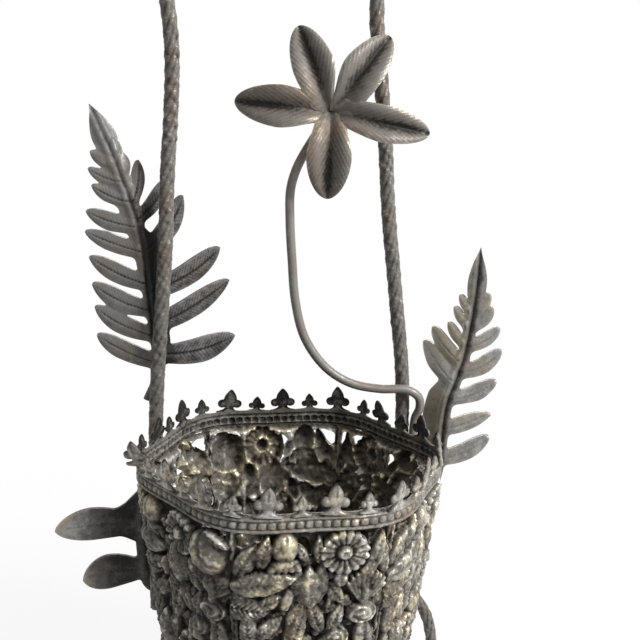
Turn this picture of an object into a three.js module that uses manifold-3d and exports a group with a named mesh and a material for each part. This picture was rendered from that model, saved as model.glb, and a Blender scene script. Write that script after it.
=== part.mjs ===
// Footed openwork flower basket in cast and soldered brass: a six-lobed pierced basket on three rope-twist
// legs, with a beaded fleur gallery, a rope-twist arch handle, fern fronds and a five-petalled flower.
// Millimetres, +Z up, the ground at z = 0, the front at -Y.
import * as THREE from "three";
import { mergeVertices } from "three/addons/utils/BufferGeometryUtils.js";
import Module from "manifold-3d";

const wasm = await Module();
wasm.setup();

// Basket
const sideCount = 6;
const rimRadius = 72; // mean plan radius at the bead line of the rim
const floorRadius = 60.7; // mean plan radius at the floor
const lobeShare = 0.04; // how far the six corners stand out and the sides fall in
const rimHeight = 142; // bead line of the rim above the ground
const floorHeight = 52.5; // top of the base plate above the ground
const sheet = 1.6; // thickness of the wall sheet, the bands and the plate
const clearance = 0.3; // gap left for solder between neighbouring pieces

// Rim gallery
const bandHeight = 7.2;
const bandOut = 1; // outer face of the bands in front of the wall's middle line
const beadsPerSide = 18;
const beadWidth = 3.6;
const beadHeight = 1;
const fleursPerSide = 5;
const fleurStart = 0.13; // first fleur of a side from its corner, in fleur pitches
const fleurThickness = 1.1;
const largeFleur = 14.5;
const smallFleur = 10;

// Base plate
const skirtHeight = 4;
const seatRadius = 44; // raised middle of the floor
const seatRise = 0.6;

// Rope-twist bars
const barRadius = 4;
const strandCount = 4;
const strandDepth = 0.6;
const layLength = 64;
const pegRadius = 1.5;
const pegLength = 5;
const lugRadius = 1.8; // lug between an upright's foot and the skirt

// Legs and handle
const legRadius = 3.3;
const legTurn = 7; // degrees that a leg stands past its corner
const legGrip = 17.5; // top of a leg above the floor, where it is soldered to the wall
const legBow = 11.8; // how far the knee stands out from the leg's top
const uprightHeight = 222; // top of the uprights above the bead line
const archRise = 64; // crown of the arch above the uprights

// Fronds and flower
const stemRadius = 2.3;
const rachisRadius = 2;
const leafThickness = 2;
const frondSteps = 9;
const petalWidth = 24;
const petalLap = 0.37; // each petal's root lies over the one before
const petals = [[175, 47], [110, 43.5], [55, 47], [-10, 49], [-91, 42]]; // direction and length

const sideStep = (2 * Math.PI) / sideCount;
const frameWidth = 2.2; // bars of the frame round a panel
const panelHalf = 36; // half width of a panel's drawing, spread over half a side
const panelTall = 85; // height of a panel's drawing, spread over the wall's height
const panelFoot = floorHeight + clearance;
const panelHeight = rimHeight - bandHeight / 2 - clearance - panelFoot;
const uprightTop = rimHeight + uprightHeight;
const sideAngle = (side) => sideStep * (side + 0.5);
const barPlan = rimRadius * (1 - lobeShare) + bandOut + beadHeight + clearance + barRadius;
const barX = barPlan * Math.cos(sideStep / 2);
const barY = barPlan * Math.sin(sideStep / 2);
const skirtOuter = floorRadius * (1 - lobeShare) + bandOut;
const weld = 0.002; // corners closer than this become one
const v3 = (x, y, z) => new THREE.Vector3(x, y, z);

// Solids and meshes
function toSolid(geometry) {
  const bare = geometry.clone();
  bare.deleteAttribute("normal");
  bare.deleteAttribute("uv");
  const merged = mergeVertices(bare, 1e-4);
  return new wasm.Manifold(
    new wasm.Mesh({
      numProp: 3,
      vertProperties: Float32Array.from(merged.attributes.position.array),
      triVerts: Uint32Array.from(merged.index.array),
    })
  );
}

function toGeometry(solid) {
  const mesh = solid.getMesh();
  const raw = new THREE.BufferGeometry();
  raw.setAttribute("position", new THREE.BufferAttribute(mesh.vertProperties, 3));
  raw.setIndex(new THREE.BufferAttribute(mesh.triVerts, 1));
  const geometry = mergeVertices(raw, weld);
  const corners = geometry.index.array;
  const kept = [];
  for (let i = 0; i < corners.length; i += 3) {
    const [a, b, c] = corners.slice(i, i + 3);
    if (a !== b && b !== c && c !== a) kept.push(a, b, c);
  }
  geometry.setIndex(kept);
  geometry.computeVertexNormals();
  return geometry;
}

const join = (geometries) => wasm.Manifold.union(geometries.map(toSolid));

// Skin over a row of rings. A ring of one point closes to a tip, any other end ring gets a flat cap.
// Where peak gives a point for a face, the face rises to it.
function loft(rings, peak = () => null) {
  const points = [];
  const faces = [];
  const starts = rings.map((ring) => points.push(...ring) - ring.length);
  for (let i = 0; i + 1 < rings.length; i++) {
    const count = Math.max(rings[i].length, rings[i + 1].length);
    for (let k = 0; k < count; k++) {
      const next = (k + 1) % count;
      const a = starts[i] + (rings[i].length > 1 ? k : 0);
      const b = starts[i] + (rings[i].length > 1 ? next : 0);
      const c = starts[i + 1] + (rings[i + 1].length > 1 ? k : 0);
      const d = starts[i + 1] + (rings[i + 1].length > 1 ? next : 0);
      const apex = peak(i, k);
      if (apex) {
        const p = points.push(apex) - 1;
        faces.push(a, b, p, b, d, p, d, c, p, c, a, p);
        continue;
      }
      if (a !== b) faces.push(a, b, d);
      if (c !== d) faces.push(a, d, c);
    }
  }
  for (const [i, flip] of [[0, true], [rings.length - 1, false]]) {
    const ring = rings[i];
    if (ring.length === 1) continue;
    const middle = points.push(ring.reduce((sum, p) => sum.add(p), v3(0, 0, 0)).divideScalar(ring.length)) - 1;
    for (let k = 0; k < ring.length; k++) {
      const a = starts[i] + k;
      const b = starts[i] + ((k + 1) % ring.length);
      faces.push(...(flip ? [middle, b, a] : [middle, a, b]));
    }
  }
  const geometry = new THREE.BufferGeometry().setFromPoints(points);
  geometry.setIndex(faces);
  return geometry;
}

// Wall of one side, drawn round +X: turn from the middle of the side, height, and distance out of the wall
function wallPoint(turn, z, out) {
  const slope = (rimRadius - floorRadius) / (rimHeight - floorHeight);
  const mean = rimRadius + (Math.min(z, rimHeight) - rimHeight) * slope;
  const radius = mean * (1 - lobeShare * Math.cos(sideCount * turn));
  const rate = mean * lobeShare * sideCount * Math.sin(sideCount * turn);
  const along = new THREE.Vector2(
    rate * Math.cos(turn) - radius * Math.sin(turn),
    rate * Math.sin(turn) + radius * Math.cos(turn)
  ).normalize();
  return v3(
    radius * Math.cos(turn) + along.y * out,
    radius * Math.sin(turn) - along.x * out,
    z
  );
}

const halfTurn = sideStep / 2 - clearance / 2 / rimRadius;

// Lays a flat drawing (x along the side, y up from the panel's foot, z outwards) on the wall
function layOnWall(geometry) {
  const place = geometry.attributes.position;
  const point = v3(0, 0, 0);
  for (let i = 0; i < place.count; i++) {
    point.fromBufferAttribute(place, i);
    const z = panelFoot + (point.y / panelTall) * panelHeight;
    const onWall = wallPoint((point.x / panelHalf) * halfTurn, z, point.z);
    place.setXYZ(i, onWall.x, onWall.y, onWall.z);
  }
  return geometry;
}

function put(geometry, x, y, degrees = 0, z = 0) {
  return geometry.rotateZ(THREE.MathUtils.degToRad(degrees)).translate(x, y, z);
}

// Floral motifs, all drawn flat
function roundMotif(x, y, wide, tall, relief, steps = 6) {
  const profile = [[0, -0.6], [1, 0], [0.75, 0.7], [0, 1]];
  const line = profile.map(([r, h]) => new THREE.Vector2(r, h < 0 ? h : h * relief));
  const dome = new THREE.LatheGeometry(line, steps).rotateX(Math.PI / 2);
  return put(dome.scale(wide / 2, tall / 2, 1), x, y);
}

function leafMotif(x, y, length, width, degrees, relief = 2.6) {
  const ring = [v3(0, -width / 2, 0.6), v3(0, 0, -0.7), v3(0, width / 2, 0.6), v3(0, 0, relief)];
  const leaf = loft([[v3(-length / 2, 0, 0)], ring, [v3(length / 2, 0, 0.9)]]);
  return put(leaf, x, y, degrees);
}

function daisyMotif(x, y, radius) {
  const petals = 8;
  const outline = [];
  for (let k = 0; k < 2 * petals; k++) {
    const reach = k % 2 ? radius * 0.84 : radius;
    outline.push(new THREE.Vector2(reach, 0).rotateAround(new THREE.Vector2(), (Math.PI * k) / petals));
  }
  const disc = new THREE.ExtrudeGeometry(new THREE.Shape(outline), { depth: 3, bevelEnabled: false });
  return [put(disc.translate(0, 0, -0.5), x, y), roundMotif(x, y, radius * 0.6, radius * 0.6, 4.4, 5)];
}

function tulipMotif(x, y, width, height) {
  return [
    leafMotif(x - width * 0.27, y + height * 0.06, height, width * 0.5, 102, 2.6),
    leafMotif(x + width * 0.27, y + height * 0.06, height, width * 0.5, 78, 2.6),
    leafMotif(x, y, height * 0.92, width * 0.62, 90, 3.4),
  ];
}

// Thin frame round a panel, which its motifs grow from
function panelFrame() {
  const across = 6;
  const line = (half, y, back) => Array.from({ length: across + 1 }, (_, k) => {
    const share = (2 * k) / across - 1;
    return new THREE.Vector2(half * (back ? -share : share), y);
  });
  const frame = new THREE.Shape([...line(panelHalf, 0), ...line(panelHalf, panelTall, true)]);
  const inside = panelHalf - frameWidth;
  const opening = [...line(inside, panelTall - frameWidth), ...line(inside, frameWidth, true)];
  frame.holes.push(new THREE.Path(opening));
  const plate = new THREE.ExtrudeGeometry(frame, { depth: sheet, bevelEnabled: false });
  return plate.translate(0, 0, -sheet / 2);
}

// Pierced floral wall panel, with a lily or a ripe fruit at its end
function makePanel(fruitEnd) {
  const top = panelTall;
  const daisyAt = fruitEnd ? 6 : 14;
  const acornAt = fruitEnd ? -17 : -13;
  const endMotifs = fruitEnd
    ? [roundMotif(25, top - 14, 20, 23, 8, 8), leafMotif(25, top - 27, 20, 8, 10)]
    : [leafMotif(30.5, top - 13, 25, 9, 82)];
  const motifs = [
    roundMotif(acornAt, top - 9, 11, 17, 6),
    leafMotif(acornAt, top - 17.5, 15, 7, 0, 4),
    leafMotif(acornAt - 8.5, top - 12, 23, 7, 80),
    leafMotif(-30, top - 19, 24, 11, 65),
    leafMotif((acornAt + daisyAt) / 2 + 1.5, top - 9, 18, 6, 95),
    ...daisyMotif(daisyAt, top - 11, 10.5),
    ...endMotifs,
    leafMotif(-21, top - 25, 32, 12, 12, 3.4),
    ...tulipMotif(-1.5, top - 29, 18, 23),
    roundMotif(11.5, top - 27, 10, 10, 4, 5),
    leafMotif(26, top - 32, 24, 17, 75, 3.4),
    leafMotif(-22, top - 39, 28, 13, -15, 3.2),
    leafMotif(10, top - 43, 24, 9, -35),
    roundMotif(25, top - 46, 17, 11, 5),
    leafMotif(-29, 37, 22, 10, 95),
    leafMotif(-6, 35, 29, 10, 72),
    roundMotif(10, 26, 17, 19, 5),
    leafMotif(29, 28, 24, 11, 95),
    ...tulipMotif(-18, 13, 18, 26),
    roundMotif(5, 11, 18, 20, 6),
    leafMotif(-31, 15, 28, 10, 85),
    leafMotif(23, 12, 24, 16, 65, 3.4),
  ];
  return join([panelFrame(), ...motifs].map(layOnWall));
}

// One length of rim gallery: moulded band, beads between its rails, and fleurs between scallops
function fleurShape(height, share) {
  const half = [[0.12, -0.1], [0.12, 0.2], [0.42, 0.36], [0.15, 0.5], [0.2, 0.75]];
  const right = half.map(([x, y]) => new THREE.Vector2(x * height * share, y * height));
  const left = right.map((p) => new THREE.Vector2(-p.x, p.y)).reverse();
  return new THREE.Shape([...right, new THREE.Vector2(0, height), ...left]);
}

function makeGallery(largeFirst) {
  const inner = bandOut - sheet;
  const rail = bandHeight / 2;
  const bed = beadWidth / 2;
  const profile = [
    [inner, -rail], [inner, rail], [bandOut, rail], [bandOut, bed], [bandOut, -bed], [bandOut, -rail],
  ];
  const turnOf = (share) => halfTurn * (2 * share - 1);
  const rings = [];
  for (let k = 0; k <= beadsPerSide; k++) {
    const turn = turnOf(k / beadsPerSide);
    rings.push(profile.map(([out, up]) => wallPoint(turn, rimHeight, out).setZ(rimHeight + up)));
  }
  const bead = (i, k) => {
    if (k !== 3) return null;
    return wallPoint(turnOf((i + 0.5) / beadsPerSide), rimHeight, bandOut + beadHeight);
  };
  const pieces = [loft(rings, bead)];
  for (let k = 0; k < fleursPerSide; k++) {
    const turn = turnOf((k + fleurStart) / fleursPerSide);
    const large = (k % 2 === 0) === largeFirst;
    const shape = fleurShape(large ? largeFleur : smallFleur, large ? 0.86 : 0.8);
    const fleur = new THREE.ExtrudeGeometry(shape, { depth: fleurThickness, bevelEnabled: false });
    fleur.translate(0, 0, -fleurThickness / 2).rotateX(Math.PI / 2).rotateZ(turn + Math.PI / 2);
    pieces.push(fleur.translate(...wallPoint(turn, rimHeight, bandOut - sheet / 2).setZ(rimHeight + rail)));
  }
  return join(pieces);
}

// Floor of the basket with a turned-down skirt and a slightly raised middle
function planRing(z, out) {
  const perSide = 6;
  const ring = [];
  for (let side = 0; side < sideCount; side++) {
    for (let k = 0; k < perSide; k++) {
      const turn = sideStep * (k / perSide - 0.5);
      ring.push(wallPoint(turn, floorHeight, out).setZ(z).applyAxisAngle(v3(0, 0, 1), sideAngle(side)));
    }
  }
  return ring;
}

function radialRod(radius, from, to, z, angle) {
  const rod = new THREE.CylinderGeometry(radius, radius, to - from, 12).rotateY(0.13);
  return rod.rotateZ(-Math.PI / 2).translate((from + to) / 2, 0, z).rotateZ(angle);
}

function makeBasePlate() {
  const skirtFoot = floorHeight - skirtHeight;
  const plate = toSolid(loft([planRing(skirtFoot, bandOut), planRing(floorHeight, bandOut)]));
  const hollow = loft([
    planRing(skirtFoot - 1, bandOut - sheet),
    planRing(floorHeight - sheet, bandOut - sheet),
  ]);
  const seat = new THREE.CylinderGeometry(seatRadius, seatRadius, seatRise + sheet / 2, 24);
  seat.rotateX(Math.PI / 2).translate(0, 0, floorHeight + seatRise / 2 - sheet / 4);
  return plate.subtract(toSolid(hollow)).add(toSolid(seat));
}

// Rope-twist bar along a curve in the X-Z plane, its strands laid round the middle line
function twistedBar(curve, y, radius = barRadius) {
  const length = curve.getLength();
  const steps = Math.round(length / 8);
  const rings = [];
  for (let k = 0; k <= steps; k++) {
    const share = k / steps;
    const middle = curve.getPointAt(share).setY(y);
    const along = curve.getTangentAt(share);
    const side = v3(along.z, 0, -along.x);
    const lay = (2 * Math.PI * share * length) / layLength;
    const ring = [];
    for (let p = 0; p < 2 * strandCount; p++) {
      const angle = lay + (Math.PI * p) / strandCount;
      const reach = p % 2 ? radius - strandDepth : radius;
      const point = middle.clone().addScaledVector(side, reach * Math.cos(angle));
      ring.push(point.add(v3(0, reach * Math.sin(angle), 0)));
    }
    rings.push(ring);
  }
  return loft(rings);
}

// Peg or socket at the end of a bar, pointing along the given direction
function endPin(radius, length, sunk, point, direction) {
  const pin = new THREE.CylinderGeometry(radius, radius, length + sunk, 12);
  pin.translate(0, (length - sunk) / 2, 0);
  const turn = new THREE.Quaternion().setFromUnitVectors(v3(0, 1, 0), direction.clone().normalize());
  return pin.applyQuaternion(turn).translate(point.x, point.y, point.z);
}

// Bowed leg: soldered to the wall beside a corner, it turns down clear of the skirt and ends in a flat-cut toe
const legAngles = { right: 0, back_left: 2 * sideStep, front_left: 4 * sideStep };

function makeLeg() {
  const line = [
    [0, 1], [-0.01, 0.93], [0.03, 0.88], [0.21, 0.83], [0.43, 0.78], [0.65, 0.7], [0.8, 0.62], [0.93, 0.5],
    [0.97, 0.37], [0.84, 0.23], [0.78, 0.13], [0.94, 0.03], [1.2, -0.06],
  ];
  const top = floorHeight + legGrip;
  const wall = wallPoint(THREE.MathUtils.degToRad(legTurn) - sideStep / 2, top, 0);
  const root = Math.hypot(wall.x, wall.y) + sheet / 2 + clearance + legRadius;
  const points = line.map(([out, up]) => v3(root + out * legBow, 0, up * top));
  const bar = toSolid(twistedBar(new THREE.CatmullRomCurve3(points), 0, legRadius));
  const reach = 8 * legRadius;
  const ground = new THREE.BoxGeometry(reach, reach, reach).translate(root + legBow, 0, -reach / 2);
  return bar.subtract(toSolid(ground));
}

// The uprights are bent by hand, so each has its own line: share of the height and lean towards the middle
const uprightLines = {
  left: [[0.15, 1.2], [0.45, 5.6], [0.64, 7.2], [0.74, 8.7], [0.87, 9.7], [0.95, 8.8], [1, 7.4]],
  right: [[0.15, 1.2], [0.33, 6.1], [0.56, 12.5], [0.67, 14.5], [0.82, 18], [0.95, 21.4], [1, 22]],
};

function uprightCurve(name) {
  const hand = name === "left" ? -1 : 1;
  const foot = floorHeight - skirtHeight;
  const points = [v3(hand * barX, barY, foot), v3(hand * barX, barY, (foot + rimHeight) / 2)];
  points.push(v3(hand * barX, barY, rimHeight));
  for (const [share, lean] of uprightLines[name]) {
    points.push(v3(hand * (barX - lean), barY, rimHeight + share * uprightHeight));
  }
  return new THREE.CatmullRomCurve3(points);
}

function makeUpright(name) {
  const curve = uprightCurve(name);
  const socket = pegRadius + clearance;
  const depth = pegLength + clearance;
  const head = endPin(socket, depth, 1, curve.getPointAt(1), curve.getTangentAt(1).negate());
  const angle = name === "left" ? sideAngle(2) : sideAngle(0);
  const lug = radialRod(lugRadius, skirtOuter + clearance, barPlan, floorHeight - skirtHeight / 2, angle);
  return join([twistedBar(curve, barY), lug]).subtract(toSolid(head));
}

function makeArch() {
  const [left, right] = ["left", "right"].map((name) => {
    const curve = uprightCurve(name);
    const along = curve.getTangentAt(1);
    return { along, point: curve.getPointAt(1).addScaledVector(along, clearance) };
  });
  const span = right.point.x - left.point.x;
  const middle = (left.point.x + right.point.x) / 2;
  const points = [left.point, left.point.clone().addScaledVector(left.along, 8)];
  for (const [across, up] of [[-0.44, 0.62], [-0.27, 0.88], [0, 1], [0.27, 0.88], [0.44, 0.62]]) {
    points.push(v3(middle + across * span, barY, uprightTop + up * archRise));
  }
  points.push(right.point.clone().addScaledVector(right.along, 8), right.point);
  const curve = new THREE.CatmullRomCurve3(points);
  const pegs = [left, right].map(({ point, along }) => {
    return endPin(pegRadius, pegLength, 3, point, along.clone().negate());
  });
  return join([twistedBar(curve, barY), ...pegs]);
}

// Fern frond on a bent rachis: lobes on two sides, which are folded along the rachis, and the bare stem.
// Each side says which way it points and lists its lobes: place along the rachis, length and upward tilt.
const rad = THREE.MathUtils.degToRad;

function lobedOutline({ lobes }, { first, width, tip }, length) {
  const outline = [[0, 0], [0.3, 0.4], [0.75, 0.45]].map(([back, side]) => {
    return new THREE.Vector2(length - back * tip, side * width);
  });
  const edges = lobes.map(([at, size, tilt], k) => {
    const below = k ? at - lobes[k - 1][0] : width;
    const above = k < lobes.length - 1 ? lobes[k + 1][0] - at : width;
    const along = new THREE.Vector2(Math.sin(rad(tilt)), Math.cos(rad(tilt)));
    const cross = new THREE.Vector2(along.y, -along.x);
    const wide = Math.min(width, 0.86 * Math.min(below, above) * along.y);
    return (q, side) => {
      const point = new THREE.Vector2(at, 0)
        .addScaledVector(along, q * size)
        .addScaledVector(cross, (side * wide) / 2);
      return point.setY(Math.max(point.y, 0.8 * rachisRadius));
    };
  });
  const start = 0.6 * first;
  for (let k = lobes.length - 1; k >= 0; k--) {
    const point = edges[k];
    outline.push(point(0.3, 0.8), point(0.62, 1), point(0.9, 0.6), point(1, 0));
    outline.push(point(0.9, -0.6), point(0.62, -1), point(0.3, -0.8));
    if (k === 0) break;
    const upper = point(0.3, -0.8);
    const lower = edges[k - 1](0.3, 0.8);
    const sinus = 0.7 * Math.max(rachisRadius, Math.min(upper.y, lower.y));
    outline.push(new THREE.Vector2((upper.x + lower.x) / 2, sinus));
  }
  outline.push(new THREE.Vector2(Math.max(lobes[0][0] - width / 2, start + 6), 0.7 * rachisRadius));
  outline.push(new THREE.Vector2(start + 3, 0.7 * rachisRadius));
  for (let k = 0; k < frondSteps; k++) {
    outline.push(new THREE.Vector2(start + (length - start) * (k / frondSteps), 0));
  }
  return outline;
}

function makeFrond({ points, sides, ...blade }) {
  const curve = new THREE.CatmullRomCurve3(points);
  const length = curve.getLength();
  const corners = [];
  const place = (hand, { x, y }, lift) => {
    const share = THREE.MathUtils.clamp(x / length, 0, 1);
    const along = curve.getTangentAt(share);
    const outs = sides.map(({ out }) => out.clone().addScaledVector(along, -out.dot(along)).normalize());
    const faces = [along.clone().cross(outs[0]), outs[1].clone().cross(along)];
    const face = y === 0 ? faces[0].clone().add(faces[1]).normalize() : faces[hand];
    const point = curve.getPointAt(share).addScaledVector(along, x - share * length);
    return point.addScaledVector(outs[hand], y).addScaledVector(face, lift);
  };
  sides.forEach((side, hand) => {
    const outline = lobedOutline(side, blade, length);
    const front = outline.map((p) => place(hand, p, leafThickness / 2));
    const back = outline.map((p) => place(hand, p, -leafThickness / 2));
    const push = (p, q, r) => corners.push(...(hand ? [r, q, p] : [p, q, r]));
    for (const [p, q, r] of THREE.ShapeUtils.triangulateShape(outline, [])) {
      push(front[p], front[q], front[r]);
      push(back[r], back[q], back[p]);
    }
    outline.forEach((p, i) => {
      const j = (i + 1) % outline.length;
      if (p.y === 0 && outline[j].y === 0) return;
      push(back[i], back[j], front[j]);
      push(back[i], front[j], front[i]);
    });
  });
  const stem = [0, 0.2, 0.4, 0.7, 1].map((share) => {
    const at = (share * blade.first) / length;
    const along = curve.getTangentAt(at);
    const side = v3(0, 1, 0).cross(along).normalize();
    const back = along.clone().cross(side);
    return [0, 1, 2, 3, 4, 5].map((p) => curve.getPointAt(at)
      .addScaledVector(side, rachisRadius * Math.cos((Math.PI * p) / 3))
      .addScaledVector(back, rachisRadius * Math.sin((Math.PI * p) / 3)));
  });
  return join([loft(stem), new THREE.BufferGeometry().setFromPoints(corners)]);
}

const behindBar = barY + barRadius + clearance + rachisRadius;

function makeLeftFrond() {
  const line = [[-3.9, 22], [0.8, 35], [-2.3, 75], [-6.9, 111], [-18.5, 146], [-30, 173]];
  return makeFrond({
    points: line.map(([x, up]) => v3(-barX + x, behindBar, rimHeight + up)),
    first: 22, width: 11, tip: 24,
    sides: [
      {
        out: v3(-1, 0.12, 0),
        lobes: [
          [21, 34, 26], [35.5, 33, 27], [49, 32, 24], [62.6, 32.5, 27], [79, 31.7, 28], [92, 27.4, 28],
          [105, 21, 37], [115.6, 18.4, 35], [125, 14.2, 40],
        ],
      },
      {
        out: v3(1, 0.12, 0),
        lobes: [[26.5, 42, 4], [39.5, 45, 24], [56.6, 41, 27], [85, 29.3, 24], [113, 17, 33]],
      },
    ],
  });
}

function makeRightFrond() {
  const start = barX + barRadius + clearance + rachisRadius;
  const line = [[0, -68], [0, -58], [0.6, -48], [13, -27], [18.3, 19], [22.7, 47], [26.7, 74], [31.4, 102]];
  return makeFrond({
    points: line.map(([x, up]) => v3(start + x, barY, rimHeight + up)),
    first: 54, width: 10, tip: 26,
    sides: [
      {
        out: v3(1, -0.15, 0),
        lobes: [
          [59, 28, 28], [74.7, 27.5, 26], [92.3, 27.2, 35], [106, 28, 34], [121, 24, 38], [131, 17.7, 38],
          [141, 15.4, 42],
        ],
      },
      {
        out: v3(-0.55, 0.84, 0),
        lobes: [[93.8, 33.6, 43], [108, 26.5, 41], [119, 15.8, 48], [129, 14.9, 48], [139.4, 13, 42]],
      },
    ],
  });
}

function makeLowFrond() {
  const reach = barRadius + clearance + rachisRadius;
  const line = [[0.6, 0.78, -6], [0.9, 1.15, -30], [0.95, 1.35, -52], [0.75, 1.35, -74], [0.3, 1.5, -90]];
  return makeFrond({
    points: line.map(([x, y, up]) => v3(-barX - x * reach, barY + y * reach, rimHeight + up)),
    first: 43, width: 18, tip: 8,
    sides: [
      { out: v3(-1, 0.02, 0), lobes: [[43, 47, 0], [69, 35, 0]] },
      { out: v3(0.5, 0.87, 0), lobes: [[43, 36, 0], [69, 27, 0]] },
    ],
  });
}

// Flower: five cupped petals round a small cup, facing forwards, its socket behind for the stem
const flowerCentre = v3(barX - 46, barY - 15.4, rimHeight + 172);
const flowerFace = v3(-0.177, -0.98, 0.087).normalize();
const flowerSide = v3(0, 0, 1).cross(flowerFace).normalize();
const flowerBasis = new THREE.Matrix4()
  .makeBasis(flowerSide, flowerFace.clone().cross(flowerSide), flowerFace)
  .setPosition(flowerCentre);

function petalBlade(length) {
  const rings = [0.07, 0.4, 0.75].map((at) => {
    const half = (petalWidth / 2) * Math.pow(Math.sin(Math.PI * Math.pow(at, 0.85)), 1.1) + 0.6;
    const lift = 9 * Math.sin(Math.PI * Math.pow(at, 0.8)) * 0.8 - 2;
    return [
      v3(at * length, -half, lift + 1.4),
      v3(at * length, 0, lift - 1),
      v3(at * length, half, lift + 1.4),
      v3(at * length, half * 0.5, lift + 2.3),
      v3(at * length, 0, lift + 1.7),
      v3(at * length, -half * 0.5, lift + 2.3),
    ];
  });
  return loft([...rings, [v3(length, 0, -2)]]);
}

function makeFlower() {
  const blades = petals.map(([degrees, length], k) => {
    return petalBlade(length).translate(0, 0, k * petalLap).rotateZ(rad(degrees));
  });
  const cup = [[0, -9], [4, -9], [5.5, -4], [7, 1], [4, 2.2], [0, 0.4]];
  blades.push(new THREE.LatheGeometry(cup.map(([r, z]) => new THREE.Vector2(r, z)), 11).rotateX(Math.PI / 2));
  const socket = new THREE.CylinderGeometry(stemRadius + clearance, stemRadius + clearance, 8, 12);
  socket.rotateX(Math.PI / 2).translate(0, 0, -9.5);
  const whole = join(blades).subtract(toSolid(socket));
  return toGeometry(whole).applyMatrix4(flowerBasis);
}

function makeStem() {
  const round = new THREE.Shape().absarc(0, 0, stemRadius, 0, 2 * Math.PI);
  const front = barY - barRadius - stemRadius - 1.3 * clearance;
  const line = [
    [5.6, -20, 3], [5.8, 10, 2.6], [7.6, 17, 0.6], [6.6, 23, 0], [0, 27.5, 0], [-14.2, 28.4, 0], [-30, 32, 0],
    [-43.6, 41, 0], [-54.8, 57, 0], [-60, 76, 0], [-62.2, 98, 0], [-63.6, 118, 0], [-63.6, 133, 0],
    [-61, 143, 0], [-56.5, 152, 0],
  ];
  const points = line.map(([x, up, back]) => v3(barX + x, front + back, rimHeight + up));
  points.push(flowerCentre.clone().addScaledVector(flowerFace, -16));
  points.push(flowerCentre.clone().addScaledVector(flowerFace, -5.5 - 2 * clearance));
  const path = new THREE.CatmullRomCurve3(points);
  const sweep = { steps: 36, curveSegments: 3, extrudePath: path, bevelEnabled: false };
  return new THREE.ExtrudeGeometry(round, sweep);
}

// Finishes
const finish = (color, roughness) => new THREE.MeshStandardMaterial({ color, roughness, metalness: 1 });
const finishes = {
  wall: () => finish(0x6e5a36, 0.5),
  gallery: () => finish(0x5f5138, 0.5),
  plate: () => finish(0x594a30, 0.55),
  bar: () => finish(0x5a4c3a, 0.5),
  leaf: () => finish(0x5b5448, 0.5),
  stem: () => finish(0x7a7266, 0.4),
};

const basket = new THREE.Group();
const pieces = new THREE.Group();
basket.add(pieces);

function add(name, shape, look, turn = 0) {
  const geometry = shape.isBufferGeometry ? shape : toGeometry(shape);
  const mesh = new THREE.Mesh(geometry, finishes[look]());
  mesh.name = name;
  mesh.rotation.z = turn;
  pieces.add(mesh);
}

const plainPanel = makePanel(false);
const fruitPanel = makePanel(true);
const fruitSides = ["back", "front_left"];
const galleries = [makeGallery(false), makeGallery(true)];
["back_right", "back", "back_left", "front_left", "front", "front_right"].forEach((name, side) => {
  add(`panel_${name}`, fruitSides.includes(name) ? fruitPanel : plainPanel, "wall", sideAngle(side));
  add(`rim_gallery_${name}`, galleries[side % 2], "gallery", sideAngle(side));
});
add("base_plate", makeBasePlate(), "plate");
const leg = makeLeg();
for (const [name, angle] of Object.entries(legAngles)) {
  add(`rope_leg_${name}`, leg, "bar", angle + THREE.MathUtils.degToRad(legTurn));
}
add("rope_upright_left", makeUpright("left"), "bar");
add("rope_upright_right", makeUpright("right"), "bar");
add("rope_arch", makeArch(), "bar");
add("fern_frond_left", makeLeftFrond(), "leaf");
add("fern_frond_right", makeRightFrond(), "leaf");
add("fern_frond_low", makeLowFrond(), "leaf");
add("flower_head", makeFlower(), "leaf");
add("flower_stem", makeStem(), "stem");

// Origin on the ground under the middle of the whole object
const bounds = new THREE.Box3().setFromObject(basket, true);
const centre = bounds.getCenter(v3(0, 0, 0));
pieces.position.set(-centre.x, -centre.y, -bounds.min.z);

export default basket;
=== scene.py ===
from math import atan2, cos, pi, radians, sin

import bpy
import numpy as np
from mathutils import Matrix, Vector


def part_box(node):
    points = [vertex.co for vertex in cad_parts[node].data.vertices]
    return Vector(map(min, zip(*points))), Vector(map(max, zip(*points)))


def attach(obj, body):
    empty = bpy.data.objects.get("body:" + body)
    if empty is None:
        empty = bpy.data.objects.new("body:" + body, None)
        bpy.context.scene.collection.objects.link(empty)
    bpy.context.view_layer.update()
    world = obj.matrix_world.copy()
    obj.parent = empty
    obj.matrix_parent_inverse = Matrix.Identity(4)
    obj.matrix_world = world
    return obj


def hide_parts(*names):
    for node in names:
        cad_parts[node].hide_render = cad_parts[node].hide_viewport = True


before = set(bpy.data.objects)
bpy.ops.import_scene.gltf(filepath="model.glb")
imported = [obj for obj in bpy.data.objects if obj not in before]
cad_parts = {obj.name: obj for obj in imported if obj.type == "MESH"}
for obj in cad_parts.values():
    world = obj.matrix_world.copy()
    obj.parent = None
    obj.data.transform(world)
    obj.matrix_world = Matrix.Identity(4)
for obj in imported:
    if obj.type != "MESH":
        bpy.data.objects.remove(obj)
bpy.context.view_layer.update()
mm = 0.001
meshOps = bpy.ops.mesh
baseLow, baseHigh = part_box("base_plate")
axisPlace = np.array([(baseLow.x + baseHigh.x) / 2, (baseLow.y + baseHigh.y) / 2, 0])  # upright axis of the basket
print("frame loaded,", len(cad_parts), "nodes")


# small helpers

def mode(name):
    bpy.ops.object.mode_set(mode=name)


def deselect():
    if bpy.context.mode != "OBJECT":
        mode("OBJECT")
    bpy.ops.object.select_all(action="DESELECT")


def pick(piece):
    deselect()
    piece.select_set(True)
    bpy.context.view_layer.objects.active = piece


def points(piece):
    flat = np.empty(len(piece.data.vertices) * 3)
    piece.data.vertices.foreach_get("co", flat)
    return flat.reshape(-1, 3)


def setPoints(piece, place):
    piece.data.vertices.foreach_set("co", np.ascontiguousarray(place).ravel())
    piece.data.update()


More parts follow.
